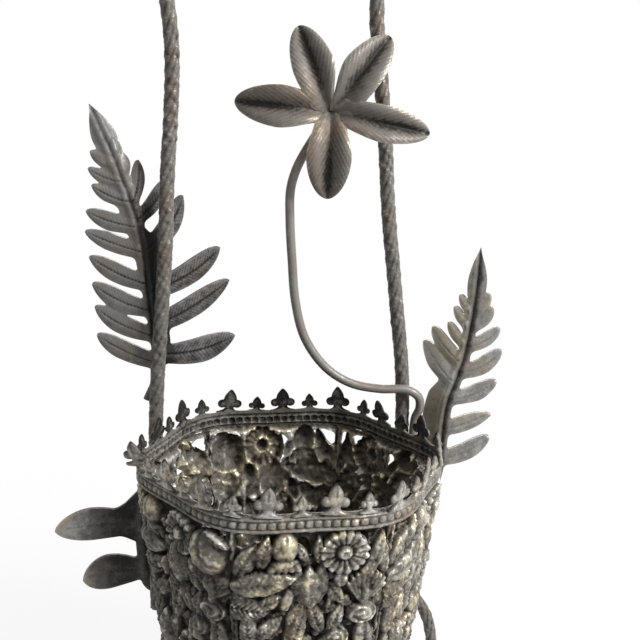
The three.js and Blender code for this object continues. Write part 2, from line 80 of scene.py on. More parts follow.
def toFrame(place):  # millimetres round the basket's axis to metres in the frame
    return np.asarray(place) * mm + axisPlace


def clamp(value):
    return np.clip(value, 0, 1)


def unit(rows):
    return rows / np.linalg.norm(rows, axis=-1, keepdims=True)


def readLine(at, run, line):  # places on a line of points, by the way along it
    return np.stack([np.interp(at, run, line[:, k]) for k in range(3)], 1)


def bell(x, wide):
    return np.exp(-(x / wide) ** 2)


def arc(x):  # a round profile, 1 in the middle and 0 at either end
    return np.sqrt(clamp(1 - x**2))


def added(operator, **settings):
    deselect()
    operator(**settings)
    return bpy.context.active_object


def newObject(name, data):
    made = bpy.data.objects.new(name, data)
    bpy.context.scene.collection.objects.link(made)
    return made


def modify(piece, kind, **settings):
    pick(piece)
    mod = piece.modifiers.new(kind.lower(), kind)
    for key, value in settings.items():
        setattr(mod, key, value)
    bpy.ops.object.modifier_apply(modifier=mod.name)


def joined(pieces):
    deselect()
    for piece in pieces:
        piece.select_set(True)
    bpy.context.view_layer.objects.active = pieces[0]
    bpy.ops.object.join()
    return pieces[0]


def copyOf(piece):
    other = piece.copy()
    other.data = piece.data.copy()
    bpy.context.scene.collection.objects.link(other)
    return other


def bakePlace(piece):
    pick(piece)
    bpy.ops.object.transform_apply(location=True, rotation=True, scale=True)


def setWearAndShading(piece, wearAndShading):  # 0 is a dark recess, 1 a rubbed high spot; painted shade and painted light are added into the same level
    layer = piece.data.attributes.get("wearAndShading") or piece.data.attributes.new("wearAndShading", "FLOAT", "POINT")
    wearAndShading = np.broadcast_to(wearAndShading, len(piece.data.vertices))
    layer.data.foreach_set("value", clamp(wearAndShading).astype(np.float32))


def edited(piece, *steps):  # runs mesh operators on the whole piece in edit mode
    pick(piece)
    mode("EDIT")
    meshOps.select_all(action="SELECT")
    for operator, settings in steps:
        operator(**settings)
    mode("OBJECT")


def extrusion(up):
    return meshOps.extrude_region_move, {"TRANSFORM_OT_translate": {"value": (0, 0, up)}}


def faceOutwards(piece):
    edited(piece, (meshOps.normals_make_consistent, {"inside": False}))


def intoFrame(piece):
    setPoints(piece, toFrame(points(piece)))


def polyline(path):  # a curve object through the points
    data = bpy.data.curves.new("path", "CURVE")
    data.dimensions = "3D"
    spline = data.splines.new("POLY")
    spline.points.add(len(path) - 1)
    spline.points.foreach_set("co", np.hstack([path, np.ones((len(path), 1))]).ravel())
    return newObject("path", data)


def settle(piece, name, nodes, slotName, angle=50):  # shading, names, finish and what it stands for
    pick(piece)
    bpy.ops.object.shade_smooth_by_angle(angle=radians(angle))
    piece.name = name
    piece.data.name = name
    piece.data.materials.clear()
    piece.data.materials.append(brass[slotName])
    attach(piece, "root")
    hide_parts(*nodes)


def smoothPath(knots):  # points about 1 mm apart on a smooth line through the knots
    knots = np.asarray(knots, float)
    ends = np.vstack([2 * knots[0] - knots[1], knots, 2 * knots[-1] - knots[-2]])
    line = []
    for a, b, c, d in zip(ends, ends[1:], ends[2:], ends[3:]):
        ta, tb, tc = (max(np.linalg.norm(q - p), 1e-6) ** 0.5 for p, q in ((a, b), (b, c), (c, d)))
        leave = ((b - a) / ta - (c - a) / (ta + tb) + (c - b) / tb) * tb
        reach = ((c - b) / tb - (d - b) / (tb + tc) + (d - c) / tc) * tb
        t = np.linspace(0, 1, 24, endpoint=False)[:, None]
        line.append(b + leave * t + (3 * (c - b) - 2 * leave - reach) * t**2 + (2 * (b - c) + leave + reach) * t**3)
    line = np.vstack(line + [knots[-1:]])
    run = np.concatenate([[0], np.cumsum(np.linalg.norm(np.diff(line, axis=0), axis=1))])
    even = np.linspace(0, run[-1], max(2, round(run[-1])) + 1)
    return readLine(even, run, line), run[-1]


def soften(field, cells):
    reach = int(3 * cells) + 1
    weights = np.exp(-0.5 * (np.arange(-reach, reach + 1) / cells) ** 2)
    weights /= weights.sum()
    for side in (0, 1):
        wide = np.pad(field, [(reach, reach) if k == side else (0, 0) for k in (0, 1)], mode="edge")
        field = np.apply_along_axis(np.convolve, side, wide, weights, "valid")
    return field


# sheets: a flat grid is cut to a drawn outline, thickened by an extrude and laid on its real form

def cutSheet(low, high, step, outside=None):
    wide, tall = high[0] - low[0], high[1] - low[1]
    cellsAcross, cellsUp = round(wide / step), round(tall / step)
    piece = added(meshOps.primitive_grid_add, x_subdivisions=cellsAcross, y_subdivisions=cellsUp, size=1)
    flat = points(piece)
    flat[:, 0] = low[0] + (flat[:, 0] + 0.5) * wide
    flat[:, 1] = low[1] + (flat[:, 1] + 0.5) * tall
    setPoints(piece, flat)
    if outside is not None:
        centres = np.empty(len(piece.data.polygons) * 3)
        piece.data.polygons.foreach_get("center", centres)
        centres = centres.reshape(-1, 3)
        selectFaces(piece, outside(centres[:, 0], centres[:, 1]) > 0)
        meshOps.delete(type="FACE")
        mode("OBJECT")
        slideToOutline(piece, low, high, step, outside)
    edited(piece, extrusion(1))
    return piece


def selectFaces(piece, chosen):  # leaves the piece in edit mode with these faces selected
    pick(piece)
    mode("EDIT")
    meshOps.select_mode(type="FACE")
    meshOps.select_all(action="DESELECT")
    mode("OBJECT")
    piece.data.polygons.foreach_set("select", chosen)
    mode("EDIT")


def slideToOutline(piece, low, high, step, outside):  # moves the cut edge's points onto the drawn outline
    edgeOfLoop = np.empty(len(piece.data.loops), int)
    piece.data.loops.foreach_get("edge_index", edgeOfLoop)
    ends = np.empty(len(piece.data.edges) * 2, int)
    piece.data.edges.foreach_get("vertices", ends)
    uses = np.bincount(edgeOfLoop, minlength=len(piece.data.edges))
    border = np.unique(ends.reshape(-1, 2)[uses == 1])
    flat = points(piece)
    u, w = flat[border, 0], flat[border, 1]
    near = step / 2  # the sheet's own border stays where it is
    inner = (u > low[0] + near) & (u < high[0] - near) & (w > low[1] + near) & (w < high[1] - near)
    border, u, w = border[inner], u[inner], w[inner]
    rounds, probe, furthest = 5, step * 0.1, step * 0.4
    for _ in range(rounds):
        away = outside(u, w)
        alongU = (outside(u + probe, w) - outside(u - probe, w)) / (2 * probe)
        alongW = (outside(u, w + probe) - outside(u, w - probe)) / (2 * probe)
        push = np.clip(away / (alongU**2 + alongW**2 + 0.05), -furthest, furthest)
        u, w = u - push * alongU, w - push * alongW
    flat[border, 0], flat[border, 1] = u, w
    setPoints(piece, flat)


def layOut(piece, front, back, place, wearAndShading, backWearAndShading=lambda u, w: 0.4):
    flat = points(piece)
    top = flat[:, 2] > 0.5  # the extruded half is the front
    u, w = flat[:, 0], flat[:, 1]
    height = np.where(top, front(u, w), back(u, w))
    setPoints(piece, toFrame(place(u, w, height)))
    setWearAndShading(piece, np.where(top, wearAndShading(u, w), backWearAndShading(u, w)))
    faceOutwards(piece)


# finishes: a shared ageing group, which turns the level of wear and painted shading into colour, then one material for
# each slot

def newGroup(name, inputs, outputs):
    group = bpy.data.node_groups.new(name, "ShaderNodeTree")
    for label, kind in inputs:
        group.interface.new_socket(label, in_out="INPUT", socket_type=kind)
    for label, kind in outputs:
        group.interface.new_socket(label, in_out="OUTPUT", socket_type=kind)
    return group, group.nodes.new("NodeGroupInput"), group.nodes.new("NodeGroupOutput")


def emptyTree(owner):
    owner.use_nodes = True
    owner.node_tree.nodes.clear()
    return owner.node_tree


def node(tree, kind, links=None, **settings):
    made = tree.nodes.new(f"ShaderNode{kind}")
    for key, value in settings.items():
        setattr(made, key, value)
    for key, value in (links or {}).items():
        if isinstance(value, bpy.types.NodeSocket):
            tree.links.new(value, made.inputs[key])
        else:
            made.inputs[key].default_value = value
    return made


def mixColour(tree, share, first, second, blend="MIX"):  # sockets 6, 7 and 2 are the node's colours
    return node(tree, "Mix", {0: share, 6: first, 7: second}, data_type="RGBA", blend_type=blend).outputs[2]


def smoothStep(tree, value, low, high, out=(0.0, 1.0)):
    ends = {"From Min": low, "From Max": high, "To Min": out[0], "To Max": out[1]}
    made = node(tree, "MapRange", {"Value": value, **ends}, interpolation_type="SMOOTHSTEP")
    return made.outputs["Result"]


def math2(tree, kind, first, second):
    return node(tree, "Math", {0: first, 1: second}, operation=kind).outputs[0]


patina = {
    "tints": 48.0, "patches": ((95.0, 0.6), (330.0, 0.75)), "fine": 1100.0, "fineShare": 0.5, "pits": 750.0,
    "warm": (0.4, 0.24, 0.13, 1), "warmShare": 0.38, "roughness": (0.6, 0.3),
    "specular": 0.25, "bumpDepth": 0.0003, "bumpStrength": 0.7,
}


def makeAgeing():
    colour, number, vector = "NodeSocketColor", "NodeSocketFloat", "NodeSocketVector"
    group, put, out = newGroup(
        "oldBrass",
        [("WearAndShading", number), ("Place", vector), ("Recess", colour), ("Body", colour), ("Rubbed", colour),
         ("Silver", colour), ("Grain", number), ("Patchy", number)],
        [("Colour", colour), ("Roughness", number), ("Height", number), ("Bare", number)])
    given, spot = put.outputs, put.outputs["Place"]

    def noise(scale, detail, rough):
        sockets = {"Vector": spot, "Scale": scale, "Detail": detail, "Roughness": rough}
        return node(group, "TexNoise", sockets).outputs[0]

    tints, fine = noise(patina["tints"], 2.0, 0.5), noise(patina["fine"], 3.0, 0.65)
    layers = [(noise(scale, 3.0, 0.6), share) for scale, share in patina["patches"]] + [(fine, patina["fineShare"])]
    shift = 0.0
    for texture, share in layers:
        centred = math2(group, "SUBTRACT", texture, 0.5)
        shift = math2(group, "ADD", shift, math2(group, "MULTIPLY", centred, share))
    level = math2(group, "ADD", given["WearAndShading"], math2(group, "MULTIPLY", shift, given["Patchy"]))
    dark = mixColour(group, smoothStep(group, level, 0.08, 0.48), given["Recess"], given["Body"])
    brown = smoothStep(group, tints, 0.48, 0.68, (0.0, patina["warmShare"]))
    warm = mixColour(group, brown, dark, patina["warm"], "SOFT_LIGHT")
    gold = smoothStep(group, tints, 0.42, 0.58)
    bright = mixColour(group, gold, given["Silver"], given["Rubbed"])
    pits = node(group, "TexVoronoi", {"Vector": spot, "Scale": patina["pits"]})
    holes = math2(group, "MULTIPLY", smoothStep(group, pits.outputs["Distance"], 0.0, 0.35), 0.3)
    grain = math2(group, "ADD", math2(group, "MULTIPLY", fine, 0.7), holes)
    results = {
        "Colour": mixColour(group, smoothStep(group, level, 0.5, 0.98), warm, bright),
        "Roughness": smoothStep(group, level, 0.1, 0.9, patina["roughness"]),
        "Height": math2(group, "MULTIPLY", grain, given["Grain"]), "Bare": smoothStep(group, level, 0.3, 0.95)}
    for label, socket in results.items():
        group.links.new(socket, out.inputs[label])
    return group


ageing = makeAgeing()


def brassFinish(name, recess, body, rubbed, silver, metallic, grain, patchy):
    material = bpy.data.materials.new(name)
    tree = emptyTree(material)
    wearAndShading = node(tree, "Attribute", attribute_name="wearAndShading")
    place = node(tree, "TexCoord")
    aged = node(tree, "Group", {
        "WearAndShading": wearAndShading.outputs["Fac"], "Place": place.outputs["Object"], "Recess": (*recess, 1), "Body": (*body, 1),
        "Rubbed": (*rubbed, 1), "Silver": (*silver, 1), "Grain": grain, "Patchy": patchy}, node_tree=ageing)
    bump = node(tree, "Bump", {
        "Height": aged.outputs["Height"], "Distance": patina["bumpDepth"], "Strength": patina["bumpStrength"]})
    shader = node(tree, "BsdfPrincipled", {
        "Base Color": aged.outputs["Colour"], "Roughness": aged.outputs["Roughness"],
        "Metallic": math2(tree, "MULTIPLY", aged.outputs["Bare"], metallic),  # metal where rubbed bare
        "Normal": bump.outputs["Normal"], "Specular IOR Level": patina["specular"]})
    node(tree, "OutputMaterial", {"Surface": shader.outputs["BSDF"]})
    return material


# recess, body, rubbed and silver colours, metallic where bare, grain, patchiness; painted shade and painted light use
# the same colours
finishes = {
    "filigree": ((0.015, 0.013, 0.011), (0.134, 0.122, 0.102), (0.53, 0.47, 0.33), (0.5, 0.48, 0.43), 0.4, 1.0, 1.1),
    "gallery": ((0.014, 0.013, 0.012), (0.188, 0.175, 0.154), (0.5, 0.45, 0.35), (0.5, 0.49, 0.46), 0.45, 1.0, 1.2),
    "rope": ((0.022, 0.019, 0.016), (0.14, 0.129, 0.115), (0.39, 0.365, 0.325), (0.4, 0.385, 0.36), 0.5, 1.4, 0.7),
    "leaf": ((0.014, 0.013, 0.013), (0.156, 0.15, 0.143), (0.4, 0.36, 0.28), (0.42, 0.41, 0.39), 0.5, 0.8, 0.6),
    "petal": ((0.016, 0.014, 0.012), (0.168, 0.152, 0.133), (0.46, 0.385, 0.28), (0.42, 0.4, 0.37), 0.5, 0.7, 0.6),
    "stem": ((0.05, 0.046, 0.042), (0.2, 0.187, 0.17), (0.46, 0.44, 0.4), (0.48, 0.48, 0.47), 0.8, 0.5, 0.5),
    "plate": ((0.02, 0.016, 0.012), (0.1, 0.083, 0.06), (0.3, 0.24, 0.16), (0.28, 0.26, 0.22), 0.7, 1.0, 0.8),
}
brass = {slotName: brassFinish(f"{slotName}_brass", *values) for slotName, values in finishes.items()}
print("finishes made")


# basket wall

basket = {
    "sides": ["back_right", "back", "back_left", "front_left", "front", "front_right"],
    "rimRadius": 72, "floorRadius": 60.7, "lobe": 0.04, "lobes": 6, "halfTurn": pi / 6,
    "rimHeight": 142, "floorHeight": 52.5, "gap": 0.3,
    "halfWidth": 36, "tall": 85,  # a panel's drawing
    "fruitSides": ["back", "front_left"],
}
panelHalf, panelTall = basket["halfWidth"], basket["tall"]
rim, floorTop = basket["rimHeight"], basket["floorHeight"]


def wallRadius(z):  # mean radius: the wall leans out from the floor to the rim
    slope = (basket["rimRadius"] - basket["floorRadius"]) / (rim - floorTop)
    return basket["rimRadius"] + (np.minimum(z, rim) - rim) * slope


def onWall(side, u, z, out):  # a place on the lobed wall, some way out along its normal
    turn = np.asarray(u) / panelHalf * basket["halfTurn"]
    mean, lobes = wallRadius(z), basket["lobes"]
    radius = mean * (1 - basket["lobe"] * np.cos(lobes * turn))
    rate = mean * basket["lobe"] * lobes * np.sin(lobes * turn)
    alongX = rate * np.cos(turn) - radius * np.sin(turn)
    alongY = rate * np.sin(turn) + radius * np.cos(turn)
    size = np.hypot(alongX, alongY)
    x = radius * np.cos(turn) + alongY / size * out
    y = radius * np.sin(turn) - alongX / size * out
    around = (2 * side + 1) * basket["halfTurn"]
    c, s = cos(around), sin(around)
    return np.stack([x * c - y * s, x * s + y * c, z + 0 * x], 1)


# cast floral relief, drawn in millimetres on a flat sheet

relief = {
    # painted shade: the front-left panel is painted darker, as it is turned away from the light
    "step": 0.42, "web": -1.6, "sink": 1.0, "seed": 7, "rimDrop": 2.9, "paintedShading": {"front_left": 0.16},
    "soft": 0.45, "skin": ((3.2, 0.3), (1.3, 0.19)),  # blur of the drawing, cells and depth of the uneven cast skin
    "bar": 1.7, "keep": 1.8,  # width of the frame bars and of the border that is never pierced
    "windows": ((-27, 6.6, 17, 9), (-4, 12, 9, 15), (30, 6.6, 11, 9), (22, 5, 8, 6)),  # across, below the rim, sizes
}
marksAcross = round(2 * panelHalf / relief["step"]) + 1
acrossMarks = np.linspace(-panelHalf, panelHalf, marksAcross)
upMarks = np.linspace(0, panelTall, round(panelTall / relief["step"]) + 1)
sheetU, sheetW = np.meshgrid(acrossMarks, upMarks, indexing="ij")
fromEdge = np.minimum(panelHalf - np.abs(sheetU), np.minimum(sheetW, panelTall - sheetW))


def turned(u, w, turn):
    c, s = cos(radians(turn)), sin(radians(turn))
    return (sheetU - u) * c + (sheetW - w) * s, (sheetW - w) * c - (sheetU - u) * s


def lay(field, inside, height):
    field[inside] = np.maximum(field[inside], height[inside])


def dome(field, u, w, wide, tall, rise, base=0.0, turn=0.0, crease=0.0):
    x, y = turned(u, w, turn)
    far = (2 * x / wide) ** 2 + (2 * y / tall) ** 2
    height = base + rise * np.sqrt(clamp(1 - far)) - crease * bell(x, 0.9)
    lay(field, far < 1, height)


def leaf(field, u, w, length, width, turn, base=1.0, rise=2.2, fold=0.9, veins=0.3, curl=0.0):
    x, y = turned(u, w, turn)
    t = clamp(x / length + 0.5)
    half = width / 2 * np.sin(pi * t**0.85) ** 0.8
    s = y / np.maximum(half, 1e-3)
    height = base + rise * (1 - 0.6 * s**2) * (0.35 + 0.65 * np.sin(pi * t)) + curl * t**2
    height -= fold * bell(y, 0.7) * (1 - 0.5 * t)
    height += veins * np.sin(2 * pi * (x - 0.9 * np.abs(y)) / 2.3) * (1 - np.abs(np.clip(s, -1, 1)))
    lay(field, (t > 0) & (t < 1) & (np.abs(s) < 1), height)


def daisy(field, u, w, radius, petals, base=2.0, rise=2.2):
    x, y = turned(u, w, 11)
    r, around = np.hypot(x, y), np.arctan2(y, x)
    ray = np.abs(np.cos(petals * around / 2))
    edge = radius * (0.87 + 0.13 * np.sqrt(ray))
    height = base + rise * (0.35 + 0.65 * ray**0.6) * (0.75 + 0.25 * r / radius)
    height -= 0.9 * bell(r - 0.36 * radius, 0.8)
    lay(field, r < edge, height)
    dome(field, u, w, radius * 0.62, radius * 0.62, 1.9, base + rise * 0.7)
    for k in range(9):
        a = 2 * pi * k / 9
        dome(field, u + radius * 0.17 * cos(a), w + radius * 0.17 * sin(a), 1.5, 1.5, 0.9, base + rise + 0.9)


def tulip(field, u, w, width, height, turn=0.0, base=1.0):
    lean = radians(turn)
    c, s = cos(lean), sin(lean)
    for side in (-1, 1):
        x, y = side * width * 0.25, height * 0.05
        leaf(field, u + x * c - y * s, w + x * s + y * c, height, width * 0.52, 90 + turn - side * 12,
             base, 2.6, 0.3, 0.12)
    leaf(field, u, w, height * 0.94, width * 0.62, 90 + turn, base + 1.4, 3.0, 0.4, 0.15)


def acorn(field, u, w, width, height, turn=0.0):
    dome(field, u, w + height * 0.1, width, height * 0.85, 6.2, 0.4, turn, 0.5)
    dome(field, u, w - height * 0.33, width * 1.12, height * 0.3, 4.8, 0.4, turn)
    for k in range(5):
        leaf(field, u + (k - 2) * width * 0.22, w - height * 0.45, 6.5, 3.6, 90 + (k - 2) * 22, 2.0, 2.6, 0.2, 0.0)


def rose(field, u, w, wide, tall, base=1.0, rise=3.2):
    x, y = turned(u, w, 0)
    far = np.sqrt((2 * x / wide) ** 2 + (2 * y / tall) ** 2)
    around = np.arctan2(y / tall, x / wide)
    swirl = 0.55 * np.cos(2 * pi * (far * 2.1 - around / (2 * pi)))
    height = base + rise * np.sqrt(np.clip(1.05 - far**2, 0, 2)) + swirl * (0.4 + far)
    lay(field, far < 1 + 0.06 * np.cos(5 * around), height)


def fanLeaf(field, u, w, size, turn, ribs=9, base=0.8, rise=2.4):
    x, y = turned(u, w, turn)
    x = x + size / 2
    r, around = np.hypot(x, y), np.arctan2(y, x)
    spread = radians(46)
    ray = np.abs(np.cos(ribs * pi / 2 * around / spread))
    edge = size * (0.9 + 0.1 * ray) * (1 - 0.22 * (around / spread) ** 2)
    height = base + rise * (0.3 + 0.7 * r / size) * (0.62 + 0.38 * ray**0.7)
    lay(field, (np.abs(around) < spread) & (r < edge), height)


def stalk(field, fromU, fromW, toU, toW, radius, base=0.6):
    along = np.array([toU - fromU, toW - fromW])
    t = clamp(((sheetU - fromU) * along[0] + (sheetW - fromW) * along[1]) / (along @ along))
    away = np.hypot(sheetU - fromU - t * along[0], sheetW - fromW - t * along[1])
    lay(field, away < radius, base + np.sqrt(np.clip(radius**2 - away**2, 0, None)))


def frameBars(field):
    lay(field, fromEdge < relief["bar"], 0.8 * arc((fromEdge - relief["bar"] / 2) / 0.95))


def undergrowth(field, seed):  # small low leaves and buds behind the main flowers
    chance = np.random.default_rng(seed)
    for _ in range(120):
        u, w = chance.uniform(-34, 34), chance.uniform(3, panelTall - 11)
        if chance.random() < 0.55:
            leaf(field, u, w, chance.uniform(8, 13), chance.uniform(4, 6), chance.uniform(0, 360),
                 chance.uniform(-1.4, -0.2), 1.7, 0.5, 0.15)
        else:
            wide = chance.uniform(3.5, 6)
            dome(field, u, w, wide, wide * chance.uniform(0.9, 1.3), 2.0, chance.uniform(-1.5, -0.4))


# each motif's place across and below the rim, then its own sizes
sharedMotifs = [
    (leaf, [
        (-29, 15, 21, 9, 62, 0.8), (-22, 26, 31, 12, 10, 1.6, 3.4, 0.5, 0.1, 1.4), (-31, 30, 17, 8, 60, 0.6),
        (12, 33, 15, 7, -55, 0.8), (-29, 40, 21, 13, -6, 0.6, 2.6, 1.0, 0.6), (-19, 36, 15, 7, 28, 1.2),
        (-7, 43, 17, 8, 66, 1.2), (3, 45, 19, 8, 112, 1.0), (13, 46, 17, 7, 70, 1.0), (-29, 52, 22, 9, 95, 0.9),
        (-20, 50, 18, 8, 40, 0.9), (-6, 51, 26, 9, 72, 1.0), (28, 59, 24, 10, 95, 1.0), (-30.5, 71, 26, 9, 84, 1.0),
        (24, 74, 22, 10, 62, 1.0, 2.8), (31.5, 74, 19, 7, 100, 0.8)]),
    (dome, [
        (14, 25, 7, 9, 3.6, 0.8, 0, 0.5), (-11.5, 35, 6, 12, 4.0, 1.0, -14, 0.4), (10, 61, 12, 13, 4.4, 0.6, 0, 0.5),
        (-8, 79, 7, 7, 3.4, 0.6), (12, 80, 6, 6, 3.0, 0.6)]),
    (tulip, [(-0.5, 29, 18, 23, 4), (-18, 71, 17, 25, -6)]),
    (fanLeaf, [(26, 31, 18, 80)]),
    (rose, [(25, 44, 15, 11), (14, 56, 12, 12, 0.8)]),
    (daisy, [(2, 74, 9, 12, 1.4)]),
]
fruitMotifs = [
    (leaf, [(18, 27, 20, 7, 28, 1.0), (31, 27, 18, 7, 150, 1.0), (25, 29, 16, 7, 90, 1.4),
            (31, 6, 13, 5, -30, 4.0, 1.8)]),
    (dome, [(25, 14.5, 20, 23, 8.2, 0.2, 8, 0.7)]),
]
leafMotifs = [
    (leaf, [(29, 14, 24, 7, 80, 1.0, 2.4, 0.9, 0.2, 1.2), (33, 16, 20, 5, 98, 1.4, 2.2),
            (26, 20, 15, 5, 60, 1.6, 2.0)]),
]


def drawPanel(fruitEnd):
    field = np.full_like(sheetU, relief["web"])
    undergrowth(field, relief["seed"] + fruitEnd)
    frameBars(field)
    daisyAt, acornAt = (6, -17) if fruitEnd else (14.5, -12.5)
    stalk(field, daisyAt, panelTall - 14, daisyAt - 6, panelTall - 40, 1.3)
    stalk(field, 26, panelTall - 30, 24, 6, 2.2, 1.0)
    stalk(field, -8, panelTall - 34, -15, 6, 1.4)
    topMotifs = [
        (leaf, [(acornAt - 9, 11, 19, 7, 78, 0.8, 2.4, 0.9, 0.3, 1.6), (acornAt + 8, 12, 12, 5, 120, 0.6),
                ((acornAt + daisyAt) / 2 + 2.5, 11, 15, 5.5, 96, 0.8)]),
        (acorn, [(acornAt, 10, 12, 18)]),
        (daisy, [(daisyAt, 11.5, 10.8, 16)]),
    ]
    for motif, rows in topMotifs + (fruitMotifs if fruitEnd else leafMotifs) + sharedMotifs:
        for u, below, *sizes in rows:
            motif(field, u, panelTall - below, *sizes)
    chance = np.random.default_rng(relief["seed"] + 20 + fruitEnd)
    field = soften(field, relief["soft"])
    for cells, rough in relief["skin"]:
        skin = soften(chance.normal(size=field.shape), cells)
        field = field + rough * skin / skin.std()
    return field


def sampled(field):  # reads a drawn field at any place on the sheet
    def at(u, w):
        i = np.clip((u - acrossMarks[0]) / (acrossMarks[1] - acrossMarks[0]), 0, len(acrossMarks) - 1.001)
        j = np.clip((w - upMarks[0]) / (upMarks[1] - upMarks[0]), 0, len(upMarks) - 1.001)
        a, b = i.astype(int), j.astype(int)
        p, q = i - a, j - b
        low = field[a, b] * (1 - p) + field[a + 1, b] * p
        return low * (1 - q) + (field[a, b + 1] * (1 - p) + field[a + 1, b + 1] * p) * q
    return at


def piercing(field):  # above zero inside the see-through gaps under the rim
    solid = soften(np.where(field > relief["web"] + 1.2, 1.0, 0.0), 1.2)
    windows = np.full_like(field, -9.0)
    for u, below, wide, tall in relief["windows"]:
        far = np.hypot(2 * (sheetU - u) / wide, 2 * (sheetW - panelTall + below) / tall)
        windows = np.maximum(windows, (1 - far) * min(wide, tall) / 2)
    return np.minimum(np.minimum(windows, (0.5 - solid) * 2.4), fromEdge - relief["keep"])


def makePanels():
    low, high = (-panelHalf, 0), (panelHalf, panelTall)
    foot = floorTop + basket["gap"]
    rise = (rim - relief["rimDrop"] - foot) / panelTall
    for fruitEnd in (False, True):
        field = drawPanel(fruitEnd)
        skin = soften(np.random.default_rng(relief["seed"] + 40).normal(size=field.shape), 2.6)
        inner = np.minimum(soften(field, 1.3) - 1.4, field - 1.0) - 0.3 * np.abs(skin) / skin.std()
        broad, fine = field - soften(field, 8.0), field - soften(field, 2.2)  # rubbed where it stands out
        wearAndShading = sampled(0.38 + 0.17 * broad + 0.22 * fine + 0.03 * (field - 1.5))
        # inner face: painted light, lighter all over for the light that falls into the basket; its hollows are darker
        # as patina
        backWearAndShading = sampled(0.54 - 0.3 * (inner - soften(inner, 5.0)))
        sheet = cutSheet(low, high, relief["step"], sampled(piercing(field)))
        for side, label in enumerate(basket["sides"]):
            if (label in basket["fruitSides"]) != fruitEnd:
                continue
            piece = copyOf(sheet)
            # painted shade: a panel listed here is painted darker for the shade it stands in
            paintedShading = relief["paintedShading"].get(label, 0.0)
            layOut(piece, sampled(field), sampled(inner),
                   lambda u, w, out: onWall(side, u, foot + w * rise, out - relief["sink"]),
                   lambda u, w: wearAndShading(u, w) - paintedShading, backWearAndShading)
            settle(piece, f"pierced_panel_{label}", [f"panel_{label}"], "filigree", 60)
        bpy.data.objects.remove(sheet)


makePanels()
print("panels made")


# rim gallery: moulded band with beads, scalloped edge and fleurs

gallery = {
    "fleurs": 5, "start": 0.13, "large": 13.4, "small": 9, "fleurStep": 0.33, "fleurFoot": 1.5,
    "band": 7.2, "bandStep": 0.36, "thick": 0.8, "scallop": 3.8, "strip": 1.7, "beads": 18, "beadRadius": 1.8,
    "seed": 11, "bent": 7, "lean": 4, "twist": 6, "knocked": {("front_left", 0): (20, 55)},  # degrees
}


def rounded(first, second, blend):  # smooth join of two outlines
    mix = clamp(0.5 + 0.5 * (second - first) / blend)
    return second * (1 - mix) + first * mix - blend * mix * (1 - mix)


def makeFleur(height):  # trefoil with a pointed head on a short neck, face to -Y, foot at the origin
    def outside(x, z):
        x, z = np.abs(x) / height / 1.14, z / height
        lobe = (np.hypot((x - 0.27) / 0.165, (z - 0.36) / 0.175) - 1) * 0.165
        body = (np.hypot(x / 0.27, (z - 0.42) / 0.26) - 1) * 0.26
        t = clamp((z - 0.48) / 0.52)
        head = np.maximum(x - 0.22 * (1 - t) ** 0.6 * (1 + 0.3 * np.sin(pi * t)), np.maximum(0.48 - z, z - 1))
        neck = np.maximum(x - 0.13 - 0.32 * np.exp(-clamp(z) / 0.07), z - 0.4)
        return rounded(rounded(lobe, body, 0.03), rounded(head, neck, 0.03), 0.04) * height

    low, high = (-0.56 * height, -0.7), (0.56 * height, 1.04 * height)
    piece = cutSheet(low, high, gallery["fleurStep"], outside)
    flat = points(piece)
    top, x, z = flat[:, 2] > 0.5, flat[:, 0], flat[:, 1]
    swell = np.sqrt(clamp(-outside(x, z) / (0.14 * height)))
    crease = 0.3 * bell(x, 0.5) * (z > 0.5 * height)
    out = np.where(top, 0.3 + 1.25 * swell - crease, -0.4 + 0.35 * swell)
    setPoints(piece, np.stack([x, -out, z], 1))
    # painted shade: the back of every fleur is painted nearly black, as if it lay in shadow
    setWearAndShading(piece, np.where(top, 0.3 + 0.45 * swell - crease, 0.04 + 0.16 * swell))
    faceOutwards(piece)
    return piece


def makeBand(side):
    rail = gallery["band"] / 2
    low, high = (-panelHalf, -rail), (panelHalf, rail + gallery["scallop"])
    sheet = cutSheet(low, high, gallery["bandStep"])
    pitch = 2 * panelHalf / gallery["fleurs"]
    beadPitch = 2 * panelHalf / gallery["beads"]

    def front(u, w):
        away = np.abs(w)
        out = np.where(away < 2.1, 0.05, 0.3)
        rails = 0.3 + 0.85 * arc((away - 2.8) / 0.75)
        out = np.where((away > 2.05) & (away < 3.55), rails, out)
        near = np.abs((u + panelHalf) % beadPitch - beadPitch / 2)
        far = (near**2.5 + away**2.5) ** 0.4 / gallery["beadRadius"]
        worn = 0.8 + 0.2 * np.sin(0.43 * u + 1.7 * side) * np.sin(0.19 * u + side)
        out = np.maximum(out, np.where(far < 1, 0.2 + 1.35 * worn * arc(far), -9))
        return out + 0.07 * np.sin(1.9 * u + 2.6 * np.sin(1.3 * w + side)) * np.sin(2.3 * w + 0.8 * u)

    def place(u, w, out):
        along = (u + panelHalf) / pitch - gallery["start"]
        toward = np.abs((along + 0.5) % 1 - 0.5) * 2  # 0 at a fleur's foot
        hollow = 1 - arc(1 - toward)
        top = gallery["strip"] + (gallery["scallop"] - gallery["strip"]) * hollow
        raised = np.where(w > rail, rail + (w - rail) / gallery["scallop"] * top, w)
        spot = onWall(side, u, np.full_like(u, rim), out)
        spot[:, 2] = rim + raised
        return spot

    layOut(sheet, front, lambda u, w: front(u, w) - gallery["thick"], place, lambda u, w: 0.3 + 0.25 * front(u, w),
           lambda u, w: 0.5 - 0.3 * front(u, w))
    return sheet


